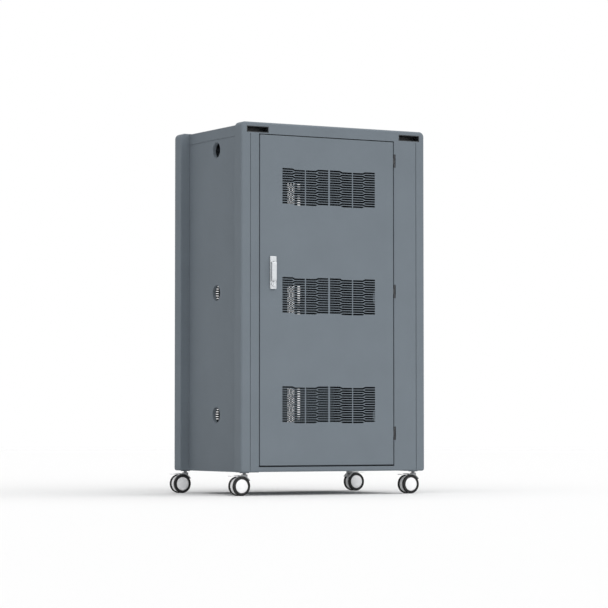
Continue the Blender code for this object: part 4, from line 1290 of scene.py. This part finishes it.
class CABINET_OT_body(bpy.types.Operator):
    """Make the posts, cap, base, side panels and door surrounds."""

    bl_idname = "cabinet.body"
    bl_label = "Cabinet Body"

    def execute(self, context):
        make_posts()
        make_cap()
        make_base()
        make_sides()
        make_strips()
        return {"FINISHED"}


class CABINET_OT_grips(bpy.types.Operator):
    """Make the black grip cups in the cap."""

    bl_idname = "cabinet.grips"
    bl_label = "Grip Cups"

    def execute(self, context):
        make_grips()
        return {"FINISHED"}


class CABINET_OT_doors(bpy.types.Operator):
    """Make the vented doors and their knuckles."""

    bl_idname = "cabinet.doors"
    bl_label = "Doors"

    def execute(self, context):
        for end, face in ENDS:
            make_door(face, end)
        return {"FINISHED"}


class CABINET_OT_lock(bpy.types.Operator):
    """Make the swing-handle lock and the rear knob."""

    bl_idname = "cabinet.lock"
    bl_label = "Lock"

    def execute(self, context):
        make_plate()
        make_lever()
        make_cylinder()
        keep("lock_spindle", dark_steel(), SPINDLE_EDGE)
        make_rear_lock()
        return {"FINISHED"}


class CABINET_OT_inside(bpy.types.Operator):
    """Make the shelves and charging strips; finish the racks, inlet and hinges."""

    bl_idname = "cabinet.inside"
    bl_label = "Inside"

    def execute(self, context):
        make_shelves()
        make_charging_strips()
        keep_inside()
        return {"FINISHED"}


class CABINET_OT_casters(bpy.types.Operator):
    """Make the twin-wheel casters."""

    bl_idname = "cabinet.casters"
    bl_label = "Casters"

    def execute(self, context):
        for corner in CORNERS:
            for which in ("front", "rear"):
                make_tyre(corner, which)
            make_hubs(corner)
            make_hood(corner)
            make_pedal(corner)
        return {"FINISHED"}


class CABINET_OT_stage(bpy.types.Operator):
    """Set the camera, the floor and the studio light."""

    bl_idname = "cabinet.stage"
    bl_label = "Studio"

    def execute(self, context):
        camera_setup()
        world_setup()
        floor_setup()
        sun_setup()
        context.scene.view_settings.view_transform = "Standard"
        return {"FINISHED"}


class CABINET_PT_panel(bpy.types.Panel):
    """Lists the cabinet's operators."""

    bl_idname = "CABINET_PT_panel"
    bl_label = "Charging Cabinet"
    bl_space_type = "VIEW_3D"
    bl_region_type = "UI"
    bl_category = "Cabinet"

    def draw(self, context):
        column = self.layout.column()
        for operator in OPERATORS:
            column.operator(operator.bl_idname)


OPERATORS = (
    CABINET_OT_stage, CABINET_OT_body, CABINET_OT_grips, CABINET_OT_doors, CABINET_OT_lock,
    CABINET_OT_inside, CABINET_OT_casters,
)
CLASSES = (CabinetSizes, CabinetFinishes, *OPERATORS, CABINET_PT_panel)


def register():
    for cls in CLASSES:
        bpy.utils.register_class(cls)
    bpy.types.Scene.cabinet_sizes = PointerProperty(type=CabinetSizes)
    bpy.types.Scene.cabinet_finishes = PointerProperty(type=CabinetFinishes)


def unregister():
    del bpy.types.Scene.cabinet_finishes
    del bpy.types.Scene.cabinet_sizes
    for cls in reversed(CLASSES):
        bpy.utils.unregister_class(cls)


def main():
    register()
    bpy.ops.cabinet.stage()
    bpy.ops.cabinet.body()
    bpy.ops.cabinet.grips()
    bpy.ops.cabinet.doors()
    bpy.ops.cabinet.lock()
    bpy.ops.cabinet.inside()
    bpy.ops.cabinet.casters()


if __name__ == "__main__":
    main()
